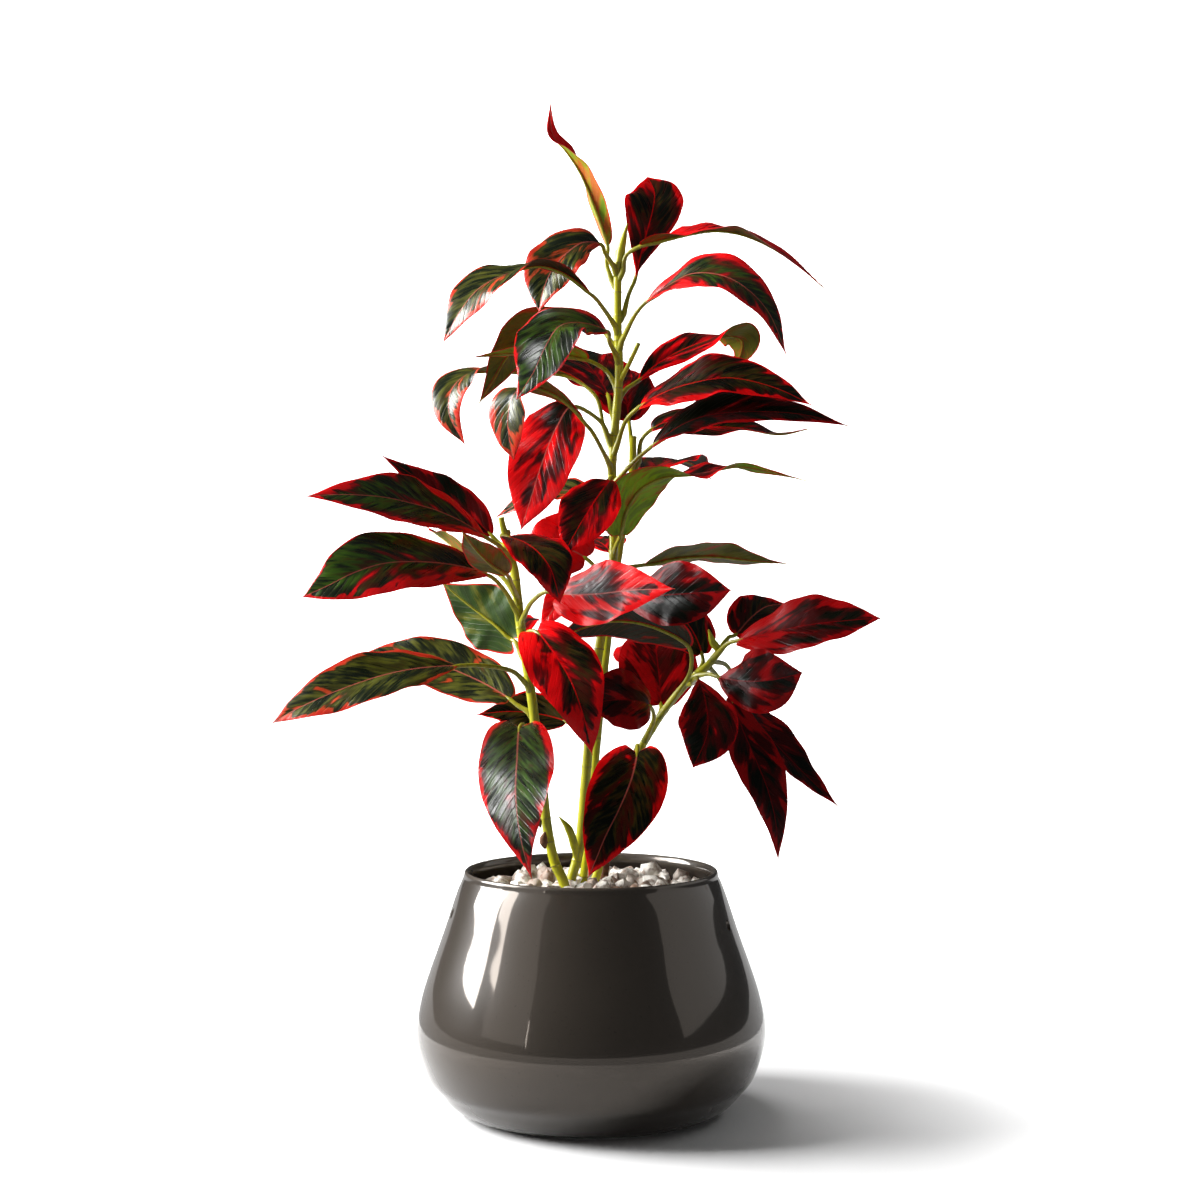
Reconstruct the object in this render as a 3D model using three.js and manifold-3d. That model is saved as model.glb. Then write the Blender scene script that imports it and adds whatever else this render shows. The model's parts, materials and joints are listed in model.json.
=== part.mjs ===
// A ti plant with broad red and green leaves on thin canes, in a round glazed pot topped with pebbles.
// Millimetres, +Z up. The origin is the middle of the pot's flat foot, and the plant faces -Y.
import * as THREE from "three";
import { mergeVertices } from "three/addons/utils/BufferGeometryUtils.js";
import Module from "manifold-3d";

const wasm = await Module();
wasm.setup();

// Driving dimensions of the pot, its filling and the clearances
const POT_HEIGHT = 173;
const POT_WALL = 5.5;
const POT_FLOOR = 9;
const FOOT_RADIUS = 80;
const LIP_ROUND = 0.8;
const HOLLOW_FLOOR_RADIUS = 84;
const HOLLOW_START = 0.16;
const POT_SEGMENTS = 36;
const POT_STEPS = { outer: 9, inner: 5 };
const SOIL_TOP = 149;
const STONE_BED_TOP = 157;
const CLEARANCE = 0.35;
const FILL_CLEARANCE = 0.6;

// Driving dimensions of the canes and leaves
const CANE_FOOT = 112;
const CANE_SIDES = 8;
const CANE_RINGS_PER_POINT = 1.35;
const HOLE_OVERCUT = 2;
const BLADE_THICKNESS = 0.8;
const RIB_DEPTH = 1.0;
const STALK_RADIUS = 1.5;
const STALK_GAP = 0.5;
const TIP_HALF_WIDTH = 0.8;
const LEAF_REACH = 1.4;

// A blade's edge waves up and down along its length, and its base is heart shaped
const WAVE = { height: 0.035, pace: 13, lag: 1.7 };
const HEART = { depth: 0.5, end: 0.3 };
const CUP = { depth: 0.45, narrowing: 0.12 };

// The outline of most leaves: where along its length a blade is broadest, how quickly it narrows
// from there and at least towards its tip, and how much of the heart shape its base has
const BROADEST = 0.38;
const TAPER = 2.1;
const POINTED = 1.15;
const LOBES = 0.5;

// A stalk is nearly round, and its blade is fully flat once it is a third of its greatest width
const STALK_ROUNDNESS = 0.85;
const FULLY_FLAT = 1 / 3;
const RIB_TAPER = 0.7;

// The point that the plant is looked at from. Waypoints of canes and leaves are written as
// [x, z, depth]: x and z as they line up in the upright plane through the pot's axis, and the
// depth behind that plane, so a point can be pushed back or forward along its line of sight.
const EYE = { x: 6.4, distance: 1600, height: 404 };

function seen([x, z, depth]) {
  const reach = (EYE.distance + depth) / EYE.distance;
  return new THREE.Vector3(
    EYE.x + (x - EYE.x) * reach,
    depth,
    EYE.height + (z - EYE.height) * reach,
  );
}

// Canes: waypoints from the soil up, and the radius at the foot and at the top
const CANES = {
  main: {
    radius: [3.6, 2.9],
    path: [
      [-15, 161, 0],
      [-9, 185, 0],
      [-4, 237, -2],
      [1, 294, -4],
      [6, 333, -3],
      [12, 366, 0],
      [16, 397, 0],
      [16, 430, 2],
      [15, 458, 2],
      [17, 487, 0],
      [20, 527, 0],
      [19, 560, 0],
      [19, 596, 0],
      [20, 615, -2],
    ],
  },
  left: {
    radius: [3.7, 3.2],
    path: [
      [-19, 161, -16],
      [-26, 178, -16],
      [-31, 201, -16],
      [-36, 244, -16],
      [-43, 300, -16],
      [-50, 345, -15],
      [-53, 372, -14],
      [-55, 388, -14],
      [-59, 401, -14],
      [-61, 416, -15],
    ],
  },
  right: {
    radius: [3.2, 2.6],
    path: [
      [2, 161, 16],
      [5, 172, 15],
      [13, 203, 10],
      [24, 236, 6],
      [34, 257, 4],
      [51, 285, 2],
      [70, 308, 0],
      [82, 318, 0],
      [93, 331, 0],
    ],
  },
  rear: {
    radius: [3.1, 2.6],
    path: [
      [-6, 161, 34],
      [-4, 178, 34],
      [2, 240, 36],
      [10, 320, 36],
      [20, 400, 34],
      [29, 453, 32],
      [30, 483, 32],
    ],
  },
};

// Leaves: the cane and height that each grows from, the stalk's and the midrib's waypoints, the
// blade's width, how far its two halves fold up, the way its upper side looks at even steps from
// the base to the tip as [x, z, depth], and where they differ from most leaves the share of its
// length where it is broadest and how far its two lobes reach back past the stalk
const LEAVES = [
  {
    name: "leaf_main_01",
    cane: "main",
    height: 594,
    stalk: [[11, 606, 2]],
    rib: [[12, 618, 2], [3, 646, 0], [-7, 670, -2], [-18, 686, -4], [-27, 696, -4], [-29, 721, -2]],
    width: 24,
    fold: 0.6,
    faces: [[0.5, 0.1, 0.9], [0.4, 0.7, -0.1], [-0.2, 0.6, -0.8]],
    tone: "red",
  },
  {
    name: "leaf_main_02",
    cane: "main",
    height: 570,
    stalk: [[27, 584, 2]],
    rib: [[31, 593, 4], [34, 606, 6], [39, 625, 8], [44, 644, 10], [45, 656, 16], [40, 667, 24]],
    width: 44,
    fold: 0.25,
    faces: [[0, 0.2, -1], [0, 0.2, -1], [0, 0.6, -0.8]],
    broadest: 0.66,
    lobes: 0,
    tone: "dark",
  },
  {
    name: "leaf_main_03",
    cane: "main",
    height: 600,
    stalk: [[25, 611, -4]],
    rib: [
      [36, 618, -8], [53, 623, -12], [71, 627, -13], [88, 629, -12],
      [108, 626, -9], [130, 616, -5], [150, 602, 0], [166, 588, 4],
    ],
    width: 34,
    fold: 0.4,
    faces: [[0, 1, 0.2], [0, 0.9, -0.35], [0, 1, -0.1], [0.2, 0.8, -0.5], [0.4, 0.85, -0.3]],
    broadest: 0.35,
    tone: "red",
  },
  {
    name: "leaf_main_04",
    cane: "main",
    height: 550,
    stalk: [[32, 570, -14]],
    rib: [
      [39, 578, -20], [56, 590, -32], [72, 598, -42], [92, 597, -50],
      [110, 588, -58], [126, 571, -62], [139, 541, -62],
    ],
    width: 38,
    fold: 0.3,
    faces: [[0, 0.7, -0.7], [0.1, 0.6, -0.8], [0.4, 0.4, -0.8]],
    broadest: 0.45,
    tone: "green",
  },
  {
    name: "leaf_main_05",
    cane: "main",
    height: 512,
    stalk: [[26, 517, 8]],
    rib: [
      [32, 521, 12], [46, 533, 20], [63, 543, 27], [81, 550, 33],
      [97, 554, 38], [107, 551, 42], [107, 542, 44], [102, 534, 46],
    ],
    width: 40,
    fold: 0.3,
    faces: [[0, 0.6, -0.8], [0.05, 0.75, -0.65], [0.1, 1, 0], [0.4, 0.4, 0.8], [0.5, 0.1, 0.9]],
    broadest: 0.5,
    lobes: 0,
    tone: "dark",
  },
  {
    name: "leaf_main_06",
    cane: "main",
    height: 476,
    stalk: [[25, 494, -10]],
    rib: [[35, 504, -16], [53, 514, -28], [71, 520, -38], [99, 524, -48], [131, 517, -58], [157, 505, -64]],
    width: 46,
    fold: 0.25,
    faces: [[0, 0.7, -0.7], [0, 0.65, -0.75], [0.2, 0.5, -0.8]],
    broadest: 0.42,
    tone: "dark",
  },
  {
    name: "leaf_main_07",
    cane: "main",
    height: 451,
    stalk: [[30, 464, -10]],
    rib: [
      [44, 476, -18], [64, 490, -28], [82, 497, -35],
      [117, 500, -47], [150, 498, -55], [184, 490, -60],
    ],
    width: 44,
    fold: 0.35,
    faces: [[0, 0.8, -0.6], [0, 0.75, -0.65], [0.2, 0.6, -0.7]],
    tone: "dark",
  },
  {
    name: "leaf_rear_01",
    cane: "rear",
    height: 466,
    stalk: [[36, 480, 24]],
    rib: [[44, 488, 22], [56, 493, 20], [79, 490, 18], [110, 488, 14], [135, 484, 10], [155, 488, 6]],
    width: 38,
    fold: 0.3,
    faces: [[0, 0.8, -0.5], [0, 0.8, -0.5], [0, 0.9, 0.3]],
    tone: "dark",
  },
  {
    name: "leaf_main_08",
    cane: "main",
    height: 400,
    stalk: [[18, 405, -10]],
    rib: [
      [21, 412, -14], [24, 427, -18], [33, 443, -22], [50, 453, -26],
      [78, 456, -28], [104, 461, -30], [124, 458, -32], [154, 451, -33],
    ],
    width: 42,
    fold: 0.2,
    faces: [
      [-0.5, 0.35, 0.8], [-0.5, 0.4, 0.75], [-0.2, 0.7, 0.5],
      [0, 0.85, -0.5], [0, 0.8, 0.55], [0.1, 0.6, 0.8],
    ],
    broadest: 0.28,
    lobes: 0.3,
    tone: "red",
  },
  {
    name: "leaf_main_09",
    cane: "main",
    height: 383,
    stalk: [[26, 389, 8]],
    rib: [[38, 391, 14], [62, 396, 22], [88, 397, 30], [114, 394, 38], [140, 392, 44]],
    width: 36,
    fold: 0.35,
    faces: [[0, 0.9, 0.4], [0, 0.85, 0.5], [0.1, 0.85, 0.45]],
    tone: "green",
  },
  {
    name: "leaf_main_10",
    cane: "main",
    height: 366,
    stalk: [[20, 371, -16]],
    rib: [[27, 366, -34], [49, 369, -52], [75, 371, -66], [100, 373, -74]],
    width: 46,
    fold: 0.2,
    faces: [[0.2, 0.3, -1], [0.25, 0.2, -1], [0.4, 0, -1]],
    broadest: 0.5,
    lobes: 0.3,
    tone: "dark",
  },
  {
    name: "leaf_main_11",
    cane: "main",
    height: 444,
    stalk: [[13, 452, -16]],
    rib: [[14, 452, -27], [5, 440, -38], [-7, 421, -47], [-20, 398, -52]],
    width: 42,
    fold: 0.2,
    faces: [[-0.1, 0.5, -0.85], [-0.1, 0.4, -0.9], [-0.2, 0.2, -1]],
    broadest: 0.5,
    lobes: 0.2,
    tone: "dark",
  },
  {
    name: "leaf_main_12",
    cane: "main",
    height: 482,
    stalk: [[7, 493, -4]],
    rib: [[-13, 504, -5], [-24, 490, -12], [-34, 466, -20], [-43, 438, -26], [-50, 416, -28]],
    width: 52,
    fold: 0.2,
    faces: [[-0.2, 0.5, -0.85], [-0.25, 0.3, -1], [-0.2, 0.1, -1]],
    broadest: 0.42,
    lobes: 0.3,
    tone: "red",
  },
  {
    name: "leaf_main_13",
    cane: "main",
    height: 540,
    stalk: [[13, 550, -10]],
    rib: [
      [12, 557, -20], [-6, 563, -30], [-22, 561, -40],
      [-32, 547, -50], [-41, 528, -56], [-53, 509, -56],
    ],
    width: 48,
    fold: 0.25,
    faces: [[0, 0.6, -0.8], [-0.3, 0.6, -0.8], [-0.2, 0.3, -1]],
    broadest: 0.5,
    lobes: 0.6,
    tone: "dark",
  },
  {
    name: "leaf_main_14",
    cane: "main",
    height: 546,
    stalk: [[8, 558, 12]],
    rib: [
      [-4, 563, 16], [-26, 566, 18], [-42, 560, 14], [-52, 549, 9],
      [-62, 536, 3], [-70, 522, 0], [-80, 506, -2],
    ],
    width: 34,
    fold: 0.3,
    faces: [[0, 0.9, 0.4], [-0.3, 0.4, 0.85], [-0.5, 0.2, 0.85]],
    broadest: 0.42,
    tone: "green",
  },
  {
    name: "leaf_main_15",
    cane: "main",
    height: 603,
    stalk: [[10, 613, -8]],
    rib: [
      [7, 619, -16], [-6, 620, -20], [-19, 611, -22],
      [-28, 600, -24], [-34, 586, -26], [-37, 571, -26],
    ],
    width: 44,
    fold: 0.35,
    faces: [[0, 0.5, -0.85], [-0.3, 0.45, -0.85], [-0.5, 0.2, -0.9]],
    broadest: 0.5,
    lobes: 0.1,
    tone: "green",
  },
  {
    name: "leaf_main_16",
    cane: "main",
    height: 561,
    stalk: [[10, 572, -12]],
    rib: [
      [2, 582, -26], [-8, 591, -36], [-22, 600, -44], [-38, 604, -50],
      [-57, 599, -56], [-79, 588, -60], [-92, 573, -62], [-105, 550, -60],
    ],
    width: 46,
    fold: 0.25,
    faces: [[0, 1, 0.12], [-0.1, 1, -0.12], [-0.5, 0.35, -1.2]],
    broadest: 0.62,
    tone: "green",
  },
  {
    name: "leaf_main_17",
    cane: "main",
    height: 474,
    stalk: [[9, 489, 14]],
    rib: [
      [4, 510, 20], [-8, 522, 27], [-26, 528, 29], [-48, 529, 30], [-68, 529, 28],
      [-87, 527, 24], [-99, 516, 18], [-101, 499, 12], [-90, 477, 8],
    ],
    width: 36,
    fold: 0.3,
    faces: [[0, 0.5, 0.85], [-0.1, 1, 0.05], [-0.5, 0.1, -1]],
    broadest: 0.66,
    lobes: 0,
    tone: "green",
  },
  {
    name: "leaf_main_18",
    cane: "main",
    height: 520,
    stalk: [[10, 530, 9]],
    rib: [[-3, 537, 4], [-28, 542, -6], [-55, 542, -16], [-84, 539, -24]],
    width: 30,
    fold: 0.3,
    faces: [[0, 0.9, 0.4], [0, 0.9, 0.4], [-0.2, 0.9, 0.2]],
    tone: "red",
  },
  {
    name: "leaf_main_19",
    cane: "main",
    height: 462,
    stalk: [[8, 473, -12]],
    rib: [
      [0, 487, -22], [-14, 504, -32], [-29, 514, -36], [-45, 518, -38],
      [-55, 512, -40], [-59, 496, -40], [-58, 480, -38], [-55, 466, -36],
    ],
    width: 34,
    fold: 0.25,
    faces: [[0.4, 0.5, 0.75], [0.1, 0.8, 0.45], [-0.4, 0.7, -0.6], [-0.5, 0.2, -0.9]],
    broadest: 0.62,
    tone: "green",
  },
  {
    name: "leaf_main_20",
    cane: "main",
    height: 492,
    stalk: [[14, 502, 20]],
    rib: [[12, 512, 38], [4, 526, 60], [-6, 538, 80], [-12, 548, 100]],
    width: 56,
    fold: 0.2,
    faces: [[0.2, 0.6, -0.8], [0.2, 0.5, -0.9], [0.1, 0.7, -0.6]],
    tone: "dark",
  },
  {
    name: "leaf_main_21",
    cane: "main",
    height: 430,
    stalk: [[6, 437, 8]],
    rib: [[-4, 441, 12], [-20, 444, 18], [-45, 438, 24], [-68, 425, 26]],
    width: 36,
    fold: 0.25,
    faces: [[-0.1, 0.9, -0.3], [-0.2, 0.8, -0.5], [-0.3, 0.6, -0.7]],
    tone: "green",
  },
  {
    name: "leaf_rear_02",
    cane: "rear",
    height: 474,
    stalk: [[28, 486, 42]],
    rib: [[27, 494, 50], [25, 510, 66], [22, 524, 84], [18, 534, 106]],
    width: 48,
    fold: 0.2,
    faces: [[0, 0.5, -0.9], [0, 0.6, -0.8], [0, 0.8, -0.6]],
    tone: "dark",
  },
  {
    name: "leaf_main_22",
    cane: "main",
    height: 376,
    stalk: [[4, 388, -6]],
    rib: [[-4, 396, -6], [-18, 403, -6], [-34, 405, -4], [-46, 398, 0]],
    width: 52,
    fold: 0.15,
    faces: [[0, 0.4, -1], [0, 0.3, -1], [-0.1, 0.2, -1]],
    tone: "red",
  },
  {
    name: "leaf_left_01",
    cane: "left",
    height: 404,
    stalk: [[-66, 407, -4]],
    rib: [[-71, 412, -4], [-88, 428, 2], [-106, 441, 8], [-126, 454, 12], [-149, 469, 16]],
    width: 34,
    fold: 0.25,
    faces: [[-0.3, 0.7, -0.6], [-0.2, 0.8, -0.5], [-0.2, 0.8, -0.5]],
    broadest: 0.42,
    lobes: 0.3,
    tone: "dark",
  },
  {
    name: "leaf_left_02",
    cane: "left",
    height: 398,
    stalk: [[-66, 405, -24]],
    rib: [
      [-74, 410, -30], [-93, 422, -39], [-111, 430, -46], [-129, 435, -52],
      [-147, 439, -57], [-175, 441, -64], [-203, 440, -68],
    ],
    width: 44,
    fold: 0.25,
    faces: [[0, 0.7, -0.7], [0.1, 0.6, -0.8], [0, 0.6, -0.8]],
    broadest: 0.5,
    tone: "green",
  },
  {
    name: "leaf_left_03",
    cane: "left",
    height: 358,
    stalk: [[-62, 373, -26]],
    rib: [
      [-72, 383, -34], [-94, 390, -46], [-120, 393, -57], [-147, 392, -66],
      [-170, 385, -72], [-188, 376, -75], [-206, 368, -76],
    ],
    width: 50,
    fold: 0.2,
    faces: [[0, 0.6, -0.8], [0, 0.5, -0.9], [-0.1, 0.4, -0.9]],
    broadest: 0.5,
    tone: "dark",
  },
  {
    name: "leaf_left_04",
    cane: "left",
    height: 376,
    stalk: [[-64, 383, -6]],
    rib: [[-72, 388, 2], [-92, 400, 18], [-106, 410, 32], [-117, 418, 46]],
    width: 32,
    fold: 0.3,
    faces: [[-0.3, 0.6, 0.7], [-0.3, 0.6, 0.7], [-0.3, 0.7, 0.6]],
    tone: "green",
  },
  {
    name: "leaf_left_05",
    cane: "left",
    height: 368,
    stalk: [[-57, 378, -30]],
    rib: [[-60, 384, -42], [-72, 392, -58], [-84, 404, -72], [-92, 415, -80]],
    width: 26,
    fold: 0.3,
    faces: [[-0.3, 0.7, 0.3], [-0.3, 0.8, -0.1], [-0.3, 0.8, -0.4]],
    tone: "dark",
  },
  {
    name: "leaf_left_06",
    cane: "left",
    height: 329,
    stalk: [[-54, 336, -6]],
    rib: [[-57, 338, -3], [-68, 348, 1], [-80, 357, 5], [-93, 367, 9], [-107, 379, 13]],
    width: 52,
    fold: 0.15,
    faces: [[0.3, 0.3, 0.9], [0.2, 0.3, 0.9], [0.1, 0.5, 0.9]],
    lobes: 1,
    tone: "green",
  },
  {
    name: "leaf_left_07",
    cane: "left",
    height: 307,
    stalk: [[-56, 315, -26], [-76, 319, -38]],
    rib: [
      [-94, 319, -46], [-112, 318, -54], [-130, 316, -60], [-152, 311, -66],
      [-181, 301, -72], [-208, 289, -76], [-228, 278, -78],
    ],
    width: 46,
    fold: 0.25,
    faces: [[0, 0.8, -0.6], [-0.1, 0.7, -0.7], [-0.2, 0.6, -0.8]],
    broadest: 0.5,
    lobes: 0.3,
    tone: "red",
  },
  {
    name: "leaf_left_08",
    cane: "left",
    height: 288,
    stalk: [[-53, 291, -8]],
    rib: [[-58, 295, -6], [-80, 308, 4], [-113, 321, 14], [-142, 326, 20], [-171, 325, 24]],
    width: 44,
    fold: 0.2,
    faces: [[0, 0.6, -0.8], [0, 0.5, -0.9], [-0.1, 0.5, -0.9]],
    tone: "dark",
  },
  {
    name: "leaf_main_23",
    cane: "main",
    height: 268,
    stalk: [[-10, 275, 8]],
    rib: [[-18, 279, 12], [-36, 284, 18], [-58, 286, 20], [-82, 284, 20]],
    width: 40,
    fold: 0.25,
    faces: [[-0.1, 0.7, -0.7], [-0.1, 0.7, -0.7], [-0.1, 0.7, -0.7]],
    tone: "dark",
  },
  {
    name: "leaf_left_09",
    cane: "left",
    height: 336,
    stalk: [[-45, 343, -26]],
    rib: [[-39, 343, -34], [-26, 327, -50], [-15, 309, -60], [-8, 291, -66], [-2, 270, -68], [1, 255, -66]],
    width: 50,
    fold: 0.2,
    faces: [[0, 0.6, -0.8], [0.1, 0.35, -1], [0.1, 0.1, -1]],
    broadest: 0.3,
    lobes: 1,
    tone: "red",
  },
  {
    name: "leaf_left_10",
    cane: "left",
    height: 266,
    stalk: [[-47, 276, -32]],
    rib: [
      [-51, 275, -44], [-53, 252, -70], [-54, 228, -88],
      [-52, 205, -98], [-48, 185, -104], [-42, 165, -106],
    ],
    width: 52,
    fold: 0.2,
    faces: [[0, 0.8, -0.6], [-0.1, 0.4, -1], [-0.1, 0.15, -1]],
    broadest: 0.25,
    lobes: 1,
    tone: "green",
  },
  {
    name: "leaf_left_11",
    cane: "left",
    height: 352,
    stalk: [[-42, 365, -28], [-32, 372, -36]],
    rib: [[-22, 370, -44], [2, 370, -60], [31, 373, -76], [60, 374, -88]],
    width: 48,
    fold: 0.2,
    faces: [[0, 0.5, -0.9], [0, 0.3, -1], [0.2, 0.2, -1]],
    broadest: 0.35,
    tone: "red",
  },
  {
    name: "leaf_left_12",
    cane: "left",
    height: 408,
    stalk: [[-64, 412, -26]],
    rib: [
      [-60, 411, -38], [-48, 407, -54], [-37, 399, -66],
      [-29, 388, -72], [-25, 376, -74], [-22, 363, -72],
    ],
    width: 40,
    fold: 0.3,
    faces: [[0, 0.9, -0.3], [0.2, 0.6, -0.8], [0.3, 0.1, -1]],
    broadest: 0.4,
    tone: "dark",
  },
  {
    name: "leaf_right_01",
    cane: "right",
    height: 254,
    stalk: [[33, 262, -8]],
    rib: [[33, 257, -20], [29, 238, -42], [20, 216, -58], [10, 196, -68], [3, 179, -72], [-2, 167, -72]],
    width: 54,
    fold: 0.2,
    faces: [[0, 0.8, -0.6], [0.1, 0.4, -1], [0, 0.15, -1]],
    broadest: 0.28,
    lobes: 1,
    tone: "green",
  },
  {
    name: "leaf_right_02",
    cane: "right",
    height: 328,
    stalk: [[98, 335, -11]],
    rib: [[105, 337, -16], [126, 342, -28], [156, 348, -40], [182, 351, -48], [207, 353, -54]],
    width: 48,
    fold: 0.25,
    faces: [[0, 0.7, -0.7], [0, 0.6, -0.8], [0.1, 0.6, -0.8]],
    broadest: 0.45,
    tone: "red",
  },
  {
    name: "leaf_right_03",
    cane: "right",
    height: 330,
    stalk: [[98, 339, 8]],
    rib: [[103, 341, 14], [113, 352, 28], [125, 361, 46], [141, 363, 66]],
    width: 36,
    fold: 0.25,
    faces: [[0.1, 0.5, -0.9], [0.2, 0.5, -0.8], [0.3, 0.7, -0.6]],
    tone: "dark",
  },
  {
    name: "leaf_right_04",
    cane: "right",
    height: 313,
    stalk: [[84, 313, -10]],
    rib: [[91, 311, -18], [108, 308, -32], [130, 309, -44], [151, 314, -50]],
    width: 46,
    fold: 0.2,
    faces: [[0.2, 0.2, -1], [0.2, 0.1, -1], [0.2, 0, -1]],
    broadest: 0.55,
    tone: "green",
  },
  {
    name: "leaf_right_05",
    cane: "right",
    height: 306,
    stalk: [[72, 306, -12]],
    rib: [[76, 310, -28], [82, 292, -50], [83, 270, -62], [73, 246, -66]],
    width: 42,
    fold: 0.2,
    faces: [[0, 0.7, -0.7], [0, 0.4, -1], [-0.1, 0.1, -1]],
    broadest: 0.58,
    lobes: 0.2,
    tone: "green",
  },
  {
    name: "leaf_right_06",
    cane: "right",
    height: 319,
    stalk: [[90, 312, 10]],
    rib: [[99, 297, 10], [107, 276, 6], [117, 253, 2], [126, 231, -2], [132, 207, -4], [134, 179, -4]],
    width: 38,
    fold: 0.2,
    faces: [[0.5, 0.5, -0.7], [0.3, 0.3, -0.9], [0.3, 0.1, -0.9]],
    broadest: 0.4,
    tone: "dark",
  },
  {
    name: "leaf_right_07",
    cane: "right",
    height: 323,
    stalk: [[98, 318, 22]],
    rib: [[107, 297, 34], [124, 272, 46], [150, 244, 46], [177, 218, 42]],
    width: 44,
    fold: 0.25,
    faces: [[0.6, 0.6, -0.4], [0.5, 0.6, -0.6], [0.5, 0.6, -0.6]],
    tone: "green",
  },
  {
    name: "leaf_right_08",
    cane: "right",
    height: 287,
    stalk: [[62, 300, -12], [71, 315, -20]],
    rib: [[70, 332, -22], [47, 346, -23], [20, 351, -23], [-6, 346, -23], [-26, 336, -24]],
    width: 34,
    fold: 0.2,
    faces: [[-0.2, 0.5, 0.8], [0, 0.5, 0.85], [0.1, 0.5, 0.85]],
    tone: "green",
  },
  {
    name: "leaf_right_09",
    cane: "right",
    height: 282,
    stalk: [[50, 288, 12]],
    rib: [[50, 291, 16], [49, 307, 28], [47, 326, 42], [45, 344, 60], [42, 358, 84]],
    width: 60,
    fold: 0.2,
    faces: [[0, 0.4, -1], [0, 0.4, -1], [0, 0.7, -0.7]],
    tone: "red",
  },
  {
    name: "leaf_right_10",
    cane: "right",
    height: 316,
    stalk: [[80, 322, 6]],
    rib: [[79, 328, 7], [74, 341, 7], [64, 355, 7], [52, 366, 8]],
    width: 34,
    fold: 0.2,
    faces: [[0.2, 0.4, -0.9], [0.2, 0.4, -0.9], [0.2, 0.5, -0.9]],
    tone: "dark",
  },
  {
    name: "leaf_right_11",
    cane: "right",
    height: 270,
    stalk: [[45, 282, -10]],
    rib: [[42, 290, -18], [30, 294, -30], [12, 294, -38], [-4, 290, -42]],
    width: 46,
    fold: 0.2,
    faces: [[0, 0.4, -0.9], [0, 0.3, -1], [0, 0.2, -1]],
    broadest: 0.45,
    tone: "red",
  },
  {
    name: "leaf_main_24",
    cane: "main",
    height: 370,
    stalk: [[2, 378, -10]],
    rib: [[-6, 379, -18], [-16, 372, -25], [-27, 359, -28], [-37, 344, -29]],
    width: 26,
    fold: 0.2,
    faces: [[-0.2, 0.8, -0.5], [-0.3, 0.5, -0.9], [-0.2, 0.3, -1]],
    tone: "red",
  },
  {
    name: "leaf_rear_03",
    cane: "rear",
    height: 380,
    stalk: [[18, 392, 44]],
    rib: [[14, 400, 56], [4, 408, 84], [-8, 408, 114], [-20, 398, 142]],
    width: 46,
    fold: 0.25,
    faces: [[0, 0.9, -0.3], [0, 1, 0.1], [0, 0.9, 0.4]],
    tone: "green",
  },
  {
    name: "leaf_rear_04",
    cane: "rear",
    height: 300,
    stalk: [[18, 312, 46]],
    rib: [[24, 320, 60], [40, 330, 88], [56, 330, 116], [72, 318, 144]],
    width: 48,
    fold: 0.25,
    faces: [[0, 0.9, -0.3], [0, 1, 0.1], [0.2, 0.8, 0.4]],
    tone: "red",
  },
  {
    name: "leaf_rear_05",
    cane: "rear",
    height: 440,
    stalk: [[34, 450, 42]],
    rib: [[40, 456, 54], [54, 464, 80], [70, 464, 106], [86, 452, 132]],
    width: 46,
    fold: 0.25,
    faces: [[0, 0.9, -0.3], [0, 1, 0.1], [0.2, 0.8, 0.4]],
    tone: "dark",
  },
  {
    name: "leaf_left_13",
    cane: "left",
    height: 322,
    stalk: [[-48, 333, -2]],
    rib: [[-51, 342, 12], [-58, 350, 40], [-64, 350, 70], [-70, 338, 98]],
    width: 46,
    fold: 0.25,
    faces: [[0, 0.9, -0.3], [0, 1, 0.1], [-0.2, 0.8, 0.4]],
    tone: "red",
  },
];

const TONES = {
  red: { color: 0xb0182a, roughness: 0.35 },
  dark: { color: 0x2a1518, roughness: 0.32 },
  green: { color: 0x2f4a26, roughness: 0.36 },
};

// A leaf's blade runs along its midrib in these steps, closer together at its heart-shaped base
const BLADE_STEPS = [0, 0.06, 0.16, 0.3, 0.45, 0.6, 0.75, 0.88, 1];
const STALK_STEPS = 3;
const ACROSS = [-1, -0.55, 0, 0.55, 1];

// Half width of a blade along its length, as a share of its greatest: broad early, long pointed tip
function outline(t, peak) {
  const fall = Math.max(TAPER * (1 - peak), POINTED);
  const rise = (fall * peak) / (1 - peak);
  return (t / peak) ** rise * ((1 - t) / (1 - peak)) ** fall;
}

function direction([x, z, depth]) {
  return new THREE.Vector3(x, depth, z).normalize();
}

// The way the upper side looks at a share t of the blade
function upperSide(faces, t) {
  const place = t * (faces.length - 1);
  const i = Math.min(Math.floor(place), faces.length - 2);
  return direction(faces[i]).lerp(direction(faces[i + 1]), place - i).normalize();
}

// The point of a cane's axis at a height, found by halving, and its radius there
const HALVINGS = 40;

function canePoint(cane, height) {
  const curve = CANE_CURVES[cane];
  let low = 0;
  let high = 1;
  for (let i = 0; i < HALVINGS; i += 1) {
    const middle = (low + high) / 2;
    if (curve.getPoint(middle).z < height) {
      low = middle;
    } else {
      high = middle;
    }
  }
  const [foot, top] = CANES[cane].radius;
  return {
    point: curve.getPoint(low),
    along: curve.getTangent(low),
    radius: foot + (top - foot) * low,
  };
}

function makeCaneCurves() {
  const curves = {};
  for (const [name, cane] of Object.entries(CANES)) {
    const points = cane.path.map(seen);
    const foot = points[0].clone();
    foot.z = CANE_FOOT;
    curves[name] = new THREE.CatmullRomCurve3([foot, ...points], false, "centripetal");
  }
  return curves;
}

const CANE_CURVES = makeCaneCurves();

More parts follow.
